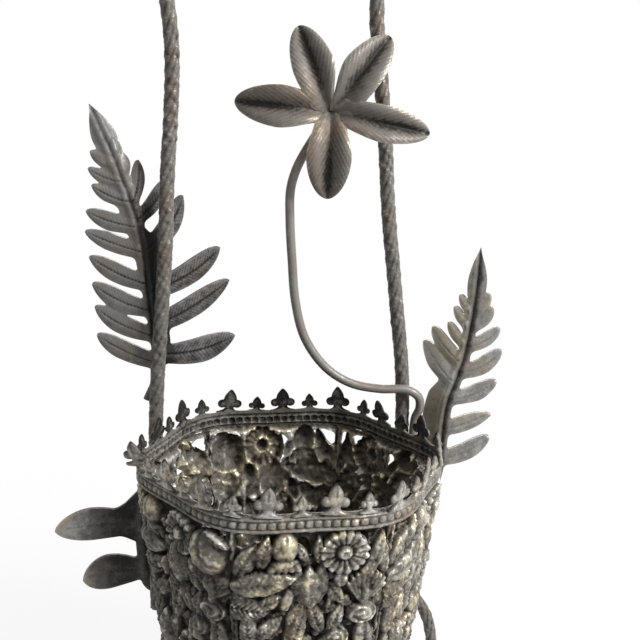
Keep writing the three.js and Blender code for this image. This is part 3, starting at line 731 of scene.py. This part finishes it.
def makeGalleries():
    fleurs = {True: makeFleur(gallery["large"]), False: makeFleur(gallery["small"])}
    chance = np.random.default_rng(gallery["seed"])
    for side, label in enumerate(basket["sides"]):
        parts = [makeBand(side)]
        for k in range(gallery["fleurs"]):
            large = (k % 2 == 0) == (side % 2 == 1)
            u = panelHalf * (2 * (k + gallery["start"]) / gallery["fleurs"] - 1)
            foot, ahead = onWall(side, np.array([u, u]), np.full(2, rim), np.array([0.2, 1.2]))
            face = atan2(ahead[1] - foot[1], ahead[0] - foot[0]) + pi / 2
            bent, lean, twist = (chance.normal(0, gallery[way]) for way in ("bent", "lean", "twist"))
            bent, twist = gallery["knocked"].get((label, k), (bent, twist))
            piece = copyOf(fleurs[large])
            turn = Matrix.Rotation(face + radians(twist), 4, "Z") @ Matrix.Rotation(radians(bent), 4, "X")
            turn = turn @ Matrix.Rotation(radians(lean), 4, "Y")
            raised = foot + [0, 0, gallery["band"] / 2 + gallery["fleurFoot"]]
            setPoints(piece, toFrame(points(piece) @ np.array(turn.to_3x3()).T + raised))
            parts.append(piece)
        settle(joined(parts), f"fleur_gallery_{label}", [f"rim_gallery_{label}"], "gallery")
    for piece in fleurs.values():
        bpy.data.objects.remove(piece)


makeGalleries()
print("galleries made")


# base plate with a beaded skirt

plate = {
    "skirt": 4, "sheet": 1.6, "out": 1, "edge": 0.35, "beads": 110, "beadRadius": 1.35, "beadSink": 0.35,
    "seat": 44, "seatRise": 0.6, "seatEdge": 0.25,
    "wearAndShading": 0.3, "skirtWear": 0.3, "seatWear": 0.34, "beadWear": 0.6,
}


def plateReach(around):  # the plate's lobed outline
    return basket["floorRadius"] * (1 + basket["lobe"] * np.cos(basket["lobes"] * around)) + plate["out"]


def makeBasePlate():
    piece = added(meshOps.primitive_circle_add, vertices=288, radius=1, fill_type="NGON")
    ring = points(piece)
    around = np.arctan2(ring[:, 1], ring[:, 0])
    reach = plateReach(around)
    setPoints(piece, np.stack([reach * np.cos(around), reach * np.sin(around), 0 * reach + floorTop], 1))
    edited(piece, extrusion(-plate["skirt"]), (meshOps.inset, {"thickness": plate["sheet"]}),
           extrusion(plate["skirt"] - plate["sheet"]))
    faceOutwards(piece)
    modify(piece, "BEVEL", width=plate["edge"], segments=2, limit_method="ANGLE")
    place = points(piece)
    onSkirt = np.hypot(place[:, 0], place[:, 1]) > basket["floorRadius"] - 2
    setWearAndShading(piece, plate["wearAndShading"] + plate["skirtWear"] * onSkirt)
    seat = added(meshOps.primitive_cylinder_add, vertices=96, radius=plate["seat"], depth=2 * plate["seatRise"],
                 location=(0, 0, floorTop))
    bakePlace(seat)
    modify(seat, "BEVEL", width=plate["seatEdge"], segments=2, limit_method="ANGLE")
    setWearAndShading(seat, plate["seatWear"])
    parts = [piece, seat]
    run = np.linspace(0, 2 * pi, 1441)
    curve = plateReach(run)
    far = np.concatenate([[0], np.cumsum(np.hypot(np.diff(curve * np.cos(run)), np.diff(curve * np.sin(run))))])
    for k in range(plate["beads"]):
        a = np.interp(far[-1] * k / plate["beads"], far, run)
        r = np.interp(a, run, curve) - plate["beadSink"]
        spot = (r * cos(a), r * sin(a), floorTop - plate["skirt"] / 2)
        bead = added(meshOps.primitive_uv_sphere_add, segments=12, ring_count=8, radius=plate["beadRadius"],
                     location=spot)
        bakePlace(bead)
        setWearAndShading(bead, plate["beadWear"])
        parts.append(bead)
    piece = joined(parts)
    intoFrame(piece)
    settle(piece, "beaded_base_plate", ["base_plate"], "plate", 40)


makeBasePlate()
print("base plate made")


# rope-twist rods

rope = {
    "radius": 4, "strands": 6, "groove": 0.42, "lay": 50, "seed": 3, "step": 0.6, "standOff": 2,
    "waves": 26, "pits": 0.14, "dotPitch": 2.3, "dotRise": 0.16,  # a hand-worked, slightly pitted skin
    "grooveWear": 0.34, "crestWear": 0.16, "dotWear": 0.16, "lug": 1.8, "lugWear": 0.35,
    "upright": 222, "leans": {  # share of the height above the rim, then the way inwards
        -1: [(0.15, 1.2), (0.45, 5.6), (0.64, 7.2), (0.74, 8.7), (0.87, 9.7), (0.95, 8.8), (1, 7.4)],
        1: [(0.15, 1.2), (0.33, 6.1), (0.56, 12.5), (0.67, 14.5), (0.82, 18), (0.95, 21.4), (1, 22)]},
    "archRise": 64, "archLap": 0.4, "archLead": 8,
    "archLine": ((-0.44, 0.62), (-0.27, 0.88), (0, 1), (0.27, 0.88), (0.44, 0.62)),
}
planRadius = basket["rimRadius"] * (1 - basket["lobe"]) + rope["standOff"] + basket["gap"] + rope["radius"]
rodX, rodY = planRadius * cos(basket["halfTurn"]), planRadius * sin(basket["halfTurn"])


def makeRod(path, length, phase, radius=rope["radius"]):  # a straight twisted bar, bent along the path
    piece = added(meshOps.primitive_circle_add, vertices=8 * rope["strands"], radius=radius)
    ring = points(piece)
    around = np.arctan2(ring[:, 1], ring[:, 0])
    crest = np.abs(np.cos(rope["strands"] * around / 2))
    ring *= (1 - rope["groove"] / radius * (1 - crest) ** 1.3)[:, None]
    setPoints(piece, ring)
    setWearAndShading(piece, rope["grooveWear"] + rope["crestWear"] * crest)
    steps = round(length / rope["step"])
    modify(piece, "SCREW", axis="Z", angle=2 * pi * length / rope["lay"], screw_offset=length,
           steps=steps, render_steps=steps, iterations=1, use_merge_vertices=False)
    edited(piece, (meshOps.fill_holes, {"sides": 0}))
    place = points(piece)
    bumps = np.zeros(len(place))
    chance = np.random.default_rng(rope["seed"] + phase)
    turn = np.arctan2(place[:, 1], place[:, 0])
    for _ in range(rope["waves"]):
        wave = turn * chance.integers(1, 6) + place[:, 2] * chance.uniform(0.15, 1.5) + chance.uniform(0, 6.3)
        bumps += np.sin(wave) / rope["waves"]
    wearAndShading = np.empty(len(place), np.float32)
    piece.data.attributes["wearAndShading"].data.foreach_get("value", wearAndShading)
    dots = clamp((wearAndShading - rope["grooveWear"]) / rope["crestWear"]) ** 3
    dots = dots * clamp(np.cos(2 * pi * place[:, 2] / rope["dotPitch"]))
    place[:, :2] *= (1 + (rope["pits"] * (4 * bumps - 2.15) + rope["dotRise"] * dots) / radius)[:, None]
    setPoints(piece, place)
    setWearAndShading(piece, wearAndShading + 0.5 * bumps + rope["dotWear"] * dots)
    route = polyline(path)
    route.data.twist_mode = "MINIMUM"
    modify(piece, "CURVE", object=route, deform_axis="POS_Z")
    bpy.data.objects.remove(route)
    return piece


def uprightKnots(hand):
    foot = floorTop - plate["skirt"]
    knots = [(hand * rodX, rodY, z) for z in (foot, (foot + rim) / 2, rim)]
    return knots + [(hand * (rodX - lean), rodY, rim + share * rope["upright"]) for share, lean in rope["leans"][hand]]


def makeLug(hand):  # holds an upright's foot to the skirt
    angle = radians(90 - 60 * hand)
    skirt = basket["floorRadius"] * (1 - basket["lobe"]) + plate["out"] + basket["gap"]
    middle = (skirt + planRadius) / 2
    spot = (middle * cos(angle), middle * sin(angle), floorTop - plate["skirt"] / 2)
    lug = added(meshOps.primitive_cylinder_add, vertices=24, radius=rope["lug"], depth=planRadius - skirt,
                rotation=(0, pi / 2, angle), location=spot)
    bakePlace(lug)
    setWearAndShading(lug, rope["lugWear"])
    return lug


def finishRod(piece, name, nodeName):
    faceOutwards(piece)
    intoFrame(piece)
    settle(piece, name, [nodeName], "rope")


def makeHandle():
    ends = []
    for hand, label in ((-1, "left"), (1, "right")):
        path, length = smoothPath(uprightKnots(hand))
        along = unit(path[-1] - path[-2])
        ends.append((path[-1] - along * rope["archLap"], along))
        rod = makeRod(path, length, hand + 1)
        finishRod(joined([rod, makeLug(hand)]), f"twisted_upright_{label}", f"rope_upright_{label}")
    (left, leftAlong), (right, rightAlong) = ends
    span, middle = right[0] - left[0], (right[0] + left[0]) / 2
    top = rim + rope["upright"]
    knots = [(middle + across * span, rodY, top + up * rope["archRise"]) for across, up in rope["archLine"]]
    lead = rope["archLead"]
    path, length = smoothPath([left, left + lead * leftAlong, *knots, right + lead * rightAlong, right])
    finishRod(makeRod(path, length, 5), "twisted_arch", "rope_arch")


leg = {
    "radius": 3.3, "turn": 7, "grip": 17.5, "bow": 11.8, "ground": 0.001,
    "line": [(0, 1), (-0.01, 0.93), (0.03, 0.88), (0.21, 0.83), (0.43, 0.78), (0.65, 0.7), (0.8, 0.62), (0.93, 0.5),
             (0.97, 0.37), (0.84, 0.23), (0.78, 0.13), (0.94, 0.03), (1.2, -0.06)],
    "places": {"right": 0, "back_left": 120, "front_left": 240},  # degrees round the basket
}


def makeLegs():
    top = floorTop + leg["grip"]
    wall = wallRadius(top) * (1 + basket["lobe"] * cos(radians(basket["lobes"] * leg["turn"])))
    root = wall + plate["sheet"] / 2 + basket["gap"] + leg["radius"]
    path, length = smoothPath([(root + out * leg["bow"], 0, up * top) for out, up in leg["line"]])
    rod = makeRod(path, length, 9, leg["radius"])
    edited(rod, (meshOps.bisect, {
        "plane_co": (0, 0, leg["ground"]), "plane_no": (0, 0, 1), "use_fill": True, "clear_inner": True}))
    faceOutwards(rod)
    for label, around in leg["places"].items():
        piece = copyOf(rod)
        turn = np.array(Matrix.Rotation(radians(around + leg["turn"]), 3, "Z"))
        setPoints(piece, toFrame(points(rod) @ turn.T))
        settle(piece, f"twisted_leg_{label}", [f"rope_leg_{label}"], "rope")
    bpy.data.objects.remove(rod)


makeHandle()
makeLegs()
print("rods made")


# fern fronds: lobed leaf sheets with a raised rachis, folded along it

frond = {
    "step": 0.42, "half": 0.9, "backShare": 0.4, "trim": 0.4, "blend": 2.4, "clear": 2,
    "neck": 2.0, "neckWear": 0.4,
}


def openWidth(plan, marks, k, tilt):  # a lobe with no width of its own fills the space to its neighbours
    gap = marks[k] - marks[k - 1] if k else plan["width"] / 0.8
    if k + 1 < len(marks):
        gap = min(gap, marks[k + 1] - marks[k])
    return min(plan["width"], plan["fill"] * gap * cos(radians(tilt)))


def lobesOf(plan):  # hand, place along the rachis, length, width and lean
    lobes = []
    for hand, side in ((-1, plan["left"]), (1, plan["right"])):
        marks = [at for at, *_ in side["lobes"]]
        for k, (at, size, tilt, *width) in enumerate(side["lobes"]):
            wide = width[0] if width else openWidth(plan, marks, k, tilt)
            lobes.append((hand, at, size - frond["trim"], wide, radians(tilt)))
    return lobes


def makeFrond(plan):
    path, length = smoothPath(plan["knots"])
    along = unit(np.gradient(path, axis=0))
    run = np.linspace(0, length, len(path))
    lobes = lobesOf(plan)
    left, right = plan["left"], plan["right"]

    def lobePlace(lobe, s, t):
        hand, at, size, wide, lean = lobe
        x = (s - at) * sin(lean) + hand * t * cos(lean)
        y = (s - at) * cos(lean) - hand * t * sin(lean)
        q = clamp(x / size)
        y = y - wide * (plan["sweep"] * q**2 - 0.12 * np.sin(pi * q))  # bellied below, tip turned up
        half = wide / 2 * (plan["root"] + (1 - plan["root"]) * (1 - (1 - clamp(q / 0.6)) ** 2))
        half = half * clamp(1 - clamp((q - 0.56) / 0.44) ** 2) ** plan["point"]
        return x, y, q, half

    def outside(s, t):
        share, reach = s / length, np.abs(t)
        gap = reach - np.where(t < 0, np.interp(share, *left["web"]), np.interp(share, *right["web"]))
        tip = length - plan["tipLength"]
        q = clamp((s - tip) / plan["tipLength"])
        half = plan["tipWidth"] / 2 * (1 - q**1.6) * (0.8 + 0.4 * np.sin(pi * q))
        gap = np.where(s > tip, reach - half, gap)
        gap = np.where(s > length, np.hypot(s - length, t), gap)
        gap = np.where(s < plan["bare"], np.maximum(gap, plan["bare"] - s), gap)
        for lobe in lobes:
            x, y, _, half = lobePlace(lobe, s, t)
            side = np.maximum(np.abs(y) - half, np.maximum(x - lobe[2], -x))
            gap = rounded(gap, side, frond["blend"])
        return gap

    def marksOn(s, t):  # swell of the lobes, their midribs and their fine veins
        swell, rib, vein = np.zeros_like(s), np.zeros_like(s), np.zeros_like(s)
        for lobe in lobes:
            x, y, q, half = lobePlace(lobe, s, t)
            inside = clamp(1 - (y / np.maximum(half, 0.5)) ** 2) * clamp(x / 3) * (x < lobe[2])
            swell = np.maximum(swell, inside)
            large = clamp((lobe[2] - 13) / 6)
            rib = np.maximum(rib, large * bell(y, 0.5) * clamp(x / 2) * clamp((1 - q) * 4))
            line = (0.5 + 0.5 * np.cos(2 * pi * (x - 0.9 * np.abs(y)) / 1.9)) ** 2
            vein = np.maximum(vein, large * line * np.sqrt(inside))
        return swell, rib, vein

    def shape(s, t):
        swell, rib, vein = marksOn(s, t)
        ridge = 0.6 * bell(np.abs(t) - 2.0, 1.4) - 0.6 * bell(t, 0.7)
        return ridge + 0.8 * swell - plan["veins"] * (0.75 * rib + 0.22 * vein)

    def wearAndShading(s, t):
        swell, rib, vein = marksOn(s, t)
        edge = clamp(1 + outside(s, t) / 1.6)
        # painted shade: a dark band beside the rachis where the blade lies in shadow, fading out along the frond; each
        # half is also painted lighter or darker for the light it gets
        paintedShadeBand = plan["paintedShadeDark"] * bell(t - plan["paintedShadeBand"], plan["paintedShadeWide"])
        paintedShadeBand = paintedShadeBand * clamp((plan["paintedShadeEnd"] - s) / 25)
        tone = plan["tone"] + np.where(t < 0, left["paintedShading"], right["paintedShading"] * clamp((np.abs(t) - 8) / 4))
        lines = plan["veins"] * (0.36 * rib + 0.16 * vein)
        return tone + 0.12 * swell + 0.16 * edge - lines - paintedShadeBand - 0.2 * bell(t, 0.8)

    def place(s, t, height):
        spot, ahead = readLine(s, run, path), readLine(s, run, along)
        share = clamp(s / length)[:, None]
        outs, faces = [], []
        for hand, side in ((-1, left), (1, right)):
            out = np.array(side["out"]) * (1 - share) + np.array(side.get("tipOut", side["out"])) * share
            out = unit(out - (out * ahead).sum(1)[:, None] * ahead)
            outs.append(out)
            faces.append(np.cross(ahead, out) if hand < 0 else np.cross(out, ahead))
        blend = np.clip(t / 3.0, -1, 1) * 0.5 + 0.5
        face = unit(faces[0] * (1 - blend)[:, None] + faces[1] * blend[:, None])
        reach = np.abs(t)
        out = np.where((t < 0)[:, None], outs[0], outs[1])
        droop = plan["droop"] * (reach / 40) ** 2
        return spot + out * reach[:, None] + face * (plan["facing"] * height - droop)[:, None]

    reach = max(lobe[2] for lobe in lobes) + 3
    sheet = cutSheet((plan["bare"] - 2, -reach), (length + 2, reach), frond["step"], outside)
    layOut(sheet, lambda s, t: frond["half"] + shape(s, t),
           lambda s, t: -frond["half"] + frond["backShare"] * shape(s, t), place, wearAndShading)
    stalkPath, _ = smoothPath(path[:plan["neckPoints"]])
    return joined([sheet, makeTube(stalkPath, frond["neck"], frond["neckWear"])])


def makeTube(path, radius, wearAndShading, sides=8):
    piece = polyline(path)
    piece.data.bevel_depth = radius
    piece.data.bevel_resolution = sides
    piece.data.use_fill_caps = True
    pick(piece)
    bpy.ops.object.convert(target="MESH")
    piece = bpy.context.active_object
    edited(piece, (meshOps.remove_doubles, {"threshold": 0.01}))
    setWearAndShading(piece, wearAndShading)
    faceOutwards(piece)
    intoFrame(piece)
    return piece


besideRod = rope["radius"] + basket["gap"] + frond["clear"]
# a side's lobes: place along the rachis, length, lean in degrees and width; its web: share of the length, reach
# each plan's dark band and half tone offsets are painted shade and painted light
leftFrond = {
    "knots": [(-rodX + x, rodY + besideRod, rim + up)
              for x, up in ((-3.9, 22), (0.8, 35), (-2.3, 75), (-6.9, 111), (-18.5, 146), (-30, 173))],
    "neckPoints": 28, "bare": 12, "width": 11.5, "fill": 0.85, "tipLength": 24, "tipWidth": 12.5, "droop": 2.0,
    "point": 0.66, "root": 0.72, "sweep": 0.3, "facing": 1,
    "tone": 0.46, "veins": 0.8, "paintedShadeBand": 5, "paintedShadeWide": 4.5, "paintedShadeDark": 0.62, "paintedShadeEnd": 112,
    "left": {
        "out": (-1, 0.12, 0), "paintedShading": 0.0,
        "web": [(0, 0.3, 0.45, 0.6, 0.68, 0.78, 1), (2, 2, 4, 6, 7, 6, 5.5)],
        "lobes": [(21, 34, 26), (35.5, 33, 27), (49, 32, 24), (62.6, 32.5, 27), (79, 31.7, 28), (92, 27.4, 28),
                  (105, 21, 37), (115.6, 18.4, 35), (125, 14.2, 40)]},
    "right": {
        "out": (1, 0.12, 0), "tipOut": (0.9, 0.4, 0), "paintedShading": -0.24,
        "web": [(0, 0.1, 0.2, 0.5, 0.54, 0.58, 0.7, 1), (2, 3, 8, 8.5, 7, 3, 3.5, 5.5)],
        "lobes": [(25, 43, 0, 11), (40.5, 47, 17, 11.5), (58, 44, 17, 11.5), (79, 34, 32, 10), (95.5, 25, 27, 7.5),
                  (104, 22, 53, 7), (119, 12, 56, 7), (129, 9, 56, 6)]},
}
rightFrond = {
    "knots": [(rodX + besideRod + x, rodY, rim + up) for x, up in (
        (0, -68), (0, -58), (0.6, -48), (13, -27), (17.6, 16), (22, 30), (25.6, 42), (27.7, 54),
        (30.3, 77), (31.6, 102))],
    "neckPoints": 60, "bare": 44, "tipLength": 27, "tipWidth": 10.5, "droop": 1.0,
    "point": 0.5, "root": 0.8, "sweep": 0.3, "facing": 1,
    "tone": 0.6, "veins": 0.3, "paintedShadeBand": 1.6, "paintedShadeWide": 2.2, "paintedShadeDark": 0.36, "paintedShadeEnd": 190,
    "left": {
        "out": (-0.7, 0.71, 0), "paintedShading": 0.2,
        "web": [(0, 0.25, 0.32, 0.42, 0.52, 0.58, 0.66, 1), (2, 3, 10, 13, 12, 7, 3, 4.5)],
        "lobes": [(101, 30, 25, 10.6), (112, 26.5, 27, 9.2), (122, 16.5, 30, 6), (132, 14.6, 33, 5.4),
                  (140.5, 12, 33, 5)]},
    "right": {
        "out": (1, -0.15, 0), "paintedShading": 0.0, "web": [(0, 0.25, 0.5, 1), (2, 3, 3.2, 3)],
        "lobes": [(57.5, 29.3, 23, 9.6), (74.5, 28.5, 23.8, 9.6), (91.3, 27.6, 34.5, 9), (107, 24.9, 33.9, 8.6),
                  (121.5, 20.2, 32, 7.4), (132, 16.2, 42, 6.8), (141, 13, 45, 6.3)]},
}
lowFrond = {
    "knots": [(-rodX - x * besideRod, rodY + y * besideRod, rim + up) for x, y, up in (
        (0.6, 0.78, -6), (0.9, 1.15, -30), (0.95, 1.35, -52), (0.75, 1.35, -74), (0.3, 1.5, -90))],
    "neckPoints": 49, "bare": 16, "tipLength": 12, "tipWidth": 9, "droop": 2.0,
    "point": 0.7, "root": 0.5, "sweep": 0.0, "facing": -1,  # its worked side is turned back
    # painted shade and painted light: the root is painted dark and the lobe tips light, as the frond hangs in the
    # basket's shadow with lit tips
    "tone": 0.85, "veins": 0.2, "paintedShadeBand": -12, "paintedShadeWide": 19, "paintedShadeDark": 0.76, "paintedShadeEnd": 130,
    "left": {
        "out": (-1, 0.02, 0), "paintedShading": 0.0, "web": [(0, 0.28, 0.36, 0.48, 0.56, 0.62, 1), (2, 4, 10, 25, 14, 5, 4)],
        "lobes": [(43, 47, 0, 17), (69, 35, 0, 17)]},
    "right": {
        "out": (0.5, 0.87, 0), "paintedShading": -0.35, "web": [(0, 0.3, 0.6, 1), (2, 4, 5, 4)],
        "lobes": [(43, 36, 0, 17), (69, 27, 0, 17)]},
}
for label, plan in (("left", leftFrond), ("right", rightFrond), ("low", lowFrond)):
    settle(makeFrond(plan), f"lobed_frond_{label}", [f"fern_frond_{label}"], "leaf")
print("fronds made")


# flower and stem

flower = {
    "centre": (rodX - 46, rodY - 15.4, rim + 172), "face": (-0.177, -0.98, 0.087), "lap": 0.37, "thick": 1.1,
    "petals": [  # turn, length, width, share of the width at the root on either side
        (175, 47, 20, 0.65, 0.5), (112.5, 43.5, 20, 0.24, 0.75), (53, 45.5, 20, 0.95, 0.24),
        (-11, 49, 17.5, 0.55, 0.85), (-91, 42, 21.5, 0.65, 0.65)],
    "step": 0.4, "cupWear": 0.3,
    "cup": {"vertices": 28, "radius1": 4, "radius2": 6, "depth": 7, "location": (0, 0, -8)},
}
flowerFace = unit(np.array(flower["face"]))
flowerSide = unit(np.cross([0, 0, 1], flowerFace))
flowerUp = np.cross(flowerFace, flowerSide)
flowerAxes = np.array([flowerSide, flowerUp, flowerFace])


def makePetal(length, width, firstRoot, secondRoot):
    def outside(x, y):
        q = clamp(x / length)
        root = np.where(y < 0, firstRoot, secondRoot)
        half = width / 2 * (root + (1.02 - root) * np.sin(pi / 2 * clamp(q / 0.56)) ** 1.8)
        half = half * clamp(1 - clamp((q - 0.48) / 0.52) ** 1.9) ** 0.54
        half = half * np.sqrt(clamp((x + 1) / 6))
        return np.maximum(np.abs(y) - half, np.maximum(x - length, -x)), half, q

    def lines(x, y):  # fine veins that slant from the midrib to the tip
        return (0.5 + 0.5 * np.cos(2 * pi * (x - 1.9 * np.abs(y)) / 3.6)) ** 2

    def shape(x, y):
        _, half, q = outside(x, y)
        s = clamp(np.abs(y) / np.maximum(half, 0.6))
        pillow = 5.0 * np.sin(pi * 0.64 * s) ** 1.2 * np.sin(pi * np.clip(q, 0.05, 0.97)) ** 0.5
        return 7.2 * np.sin(pi * q**0.8) - 4.2 - 1.2 * q**3 + pillow - 0.16 * lines(x, y) * clamp(q * 4)

    def wearAndShading(x, y):
        gap, half, q = outside(x, y)
        s = clamp(np.abs(y) / np.maximum(half, 0.6))
        edge = clamp(1 + gap / 1.3)
        # painted shade: a soft dark band along the valley of each petal's midrib
        paintedValleyShade = 0.3 * bell(y, 2.2) * clamp(3 * q - 0.6) * np.clip(7 * (1 - q), 0.3, 1)
        tip = clamp(q * 4)
        return 0.38 + 0.24 * s + 0.12 * edge - 0.1 * lines(x, y) * tip - paintedValleyShade + 0.12 * bell(x, 11)

    sheet = cutSheet((0, -width / 2 - 1), (length + 1, width / 2 + 1), flower["step"], lambda x, y: outside(x, y)[0])
    return sheet, shape, wearAndShading


def makeFlower():
    parts = []
    for k, (degrees, *sizes) in enumerate(flower["petals"]):
        sheet, shape, wearAndShading = makePetal(*sizes)
        a = radians(degrees)

        def place(x, y, height):
            across, up = x * cos(a) - y * sin(a), x * sin(a) + y * cos(a)
            return np.array(flower["centre"]) + np.stack([across, up, height + k * flower["lap"]], 1) @ flowerAxes

        layOut(sheet, shape, lambda x, y: shape(x, y) - flower["thick"], place, wearAndShading)
        parts.append(sheet)
    cup = added(meshOps.primitive_cone_add, **flower["cup"])
    bakePlace(cup)
    setWearAndShading(cup, flower["cupWear"])
    setPoints(cup, toFrame(np.array(flower["centre"]) + points(cup) @ flowerAxes))
    settle(joined(parts + [cup]), "veined_flower", ["flower_head"], "petal")


stem = {
    "radius": 2.3, "wearAndShading": 0.5, "sides": 10, "clear": 1.3 * basket["gap"], "ends": (16, 6.1),
    "line": [  # from the upright: across, up and back
        (5.6, -20, 3), (5.8, 10, 2.6), (7.6, 17, 0.6), (6.6, 23, 0), (0, 27.5, 0), (-14.2, 28.4, 0), (-30, 32, 0),
        (-43.6, 41, 0), (-54.8, 57, 0), (-60, 76, 0), (-62.2, 98, 0), (-63.6, 118, 0), (-63.6, 133, 0), (-61, 143, 0),
        (-56.5, 152, 0)],
}


def makeStem():
    front = rodY - rope["radius"] - stem["radius"] - stem["clear"]
    knots = [(rodX + x, front + back, rim + up) for x, up, back in stem["line"]]
    knots += [tuple(np.array(flower["centre"]) - flowerFace * sink) for sink in stem["ends"]]
    path, _ = smoothPath(knots)
    piece = makeTube(path, stem["radius"], stem["wearAndShading"], stem["sides"])
    settle(piece, "bent_stem", ["flower_stem"], "stem", 40)


makeFlower()
makeStem()
print("flower and stem made")


# floor, light and camera

stage = {
    "floorSize": 60, "floorColour": (0.9, 0.9, 0.9), "floorBounce": (0.5, 0.5, 0.5), "sky": 0.16,
    "shadowReach": (0.15, 0.5), "floorGlow": (0.88, 1.0),  # keeps the shadow near the object
    "aim": (0, 0, 0.2), "lamps": {  # place, size and power
        "key": ((0.95, -0.7, 0.85), 0.6, 28.0), "fill": ((-0.9, -0.8, 0.6), 0.9, 0.5),
        "top": ((0.1, 0.1, 1.4), 0.9, 3.5), "back": ((0.35, 1.25, 0.5), 0.9, 10.0)},
}


def seenRays(tree):  # 1 where the camera looks, straight, by reflection or through glass
    path = node(tree, "LightPath")
    seen = math2(tree, "MAXIMUM", path.outputs["Is Camera Ray"], path.outputs["Is Glossy Ray"])
    return math2(tree, "MAXIMUM", seen, path.outputs["Is Transmission Ray"])


def mixedShader(tree, share, first, second, outKind):
    mix = node(tree, "MixShader", {0: share, 1: first.outputs[0], 2: second.outputs[0]})
    node(tree, outKind, {"Surface": mix.outputs[0]})


def makeFloor():
    floor = added(meshOps.primitive_plane_add, size=stage["floorSize"])
    floor.name = "floor"
    material = bpy.data.materials.new("pale_floor")
    tree = emptyTree(material)
    seen = seenRays(tree)
    tone = mixColour(tree, seen, (*stage["floorBounce"], 1), (*stage["floorColour"], 1))
    spot = node(tree, "TexCoord")
    far = node(tree, "VectorMath", {0: spot.outputs["Object"]}, operation="LENGTH")
    share = smoothStep(tree, far.outputs["Value"], *stage["shadowReach"], stage["floorGlow"])
    mixedShader(tree, math2(tree, "MULTIPLY", seen, share), node(tree, "BsdfDiffuse", {"Color": tone}),
                node(tree, "Emission"), "OutputMaterial")
    floor.data.materials.append(material)


def makeWorld():
    world = bpy.data.worlds.new("studio")
    bpy.context.scene.world = world
    tree = emptyTree(world)
    sky, white = (node(tree, "Background", {"Color": (1, 1, 1, 1), "Strength": strength})
                  for strength in (stage["sky"], 1.0))
    mixedShader(tree, seenRays(tree), sky, white, "OutputWorld")


def makeLamp(name, spot, size, power):
    data = bpy.data.lights.new(name, "AREA")
    data.size = size
    data.energy = power
    lamp = newObject(name, data)
    lamp.location = spot
    lamp.rotation_euler = (Vector(stage["aim"]) - Vector(spot)).to_track_quat("-Z", "Y").to_euler()


camera = {
    "place": (-84.5, -551.2, 365.0), "yaw": 10, "pitch": 14.85, "roll": 1.5,
    "lens": 67.5, "sensor": 36, "nearest": 0.01,
}


def makeCamera():
    data = bpy.data.cameras.new("camera")
    data.lens = camera["lens"]
    data.sensor_width = camera["sensor"]
    data.clip_start = camera["nearest"]
    piece = newObject("camera", data)
    yaw, pitch, roll = (radians(camera[k]) for k in ("yaw", "pitch", "roll"))
    ahead = Vector((sin(yaw) * cos(pitch), cos(yaw) * cos(pitch), -sin(pitch)))
    right = Vector((cos(yaw), -sin(yaw), 0))
    up = right.cross(ahead)
    right, up = right * cos(roll) + up * sin(roll), up * cos(roll) - right * sin(roll)
    turn = Matrix((right, up, -ahead)).transposed()
    piece.matrix_world = Matrix.Translation(Vector(toFrame(camera["place"]))) @ turn.to_4x4()
    bpy.context.scene.camera = piece


makeFloor()
makeWorld()
for name, values in stage["lamps"].items():
    makeLamp(name, *values)
makeCamera()
bpy.context.scene.view_settings.view_transform = "Standard"
print("stage, lamps and camera made")
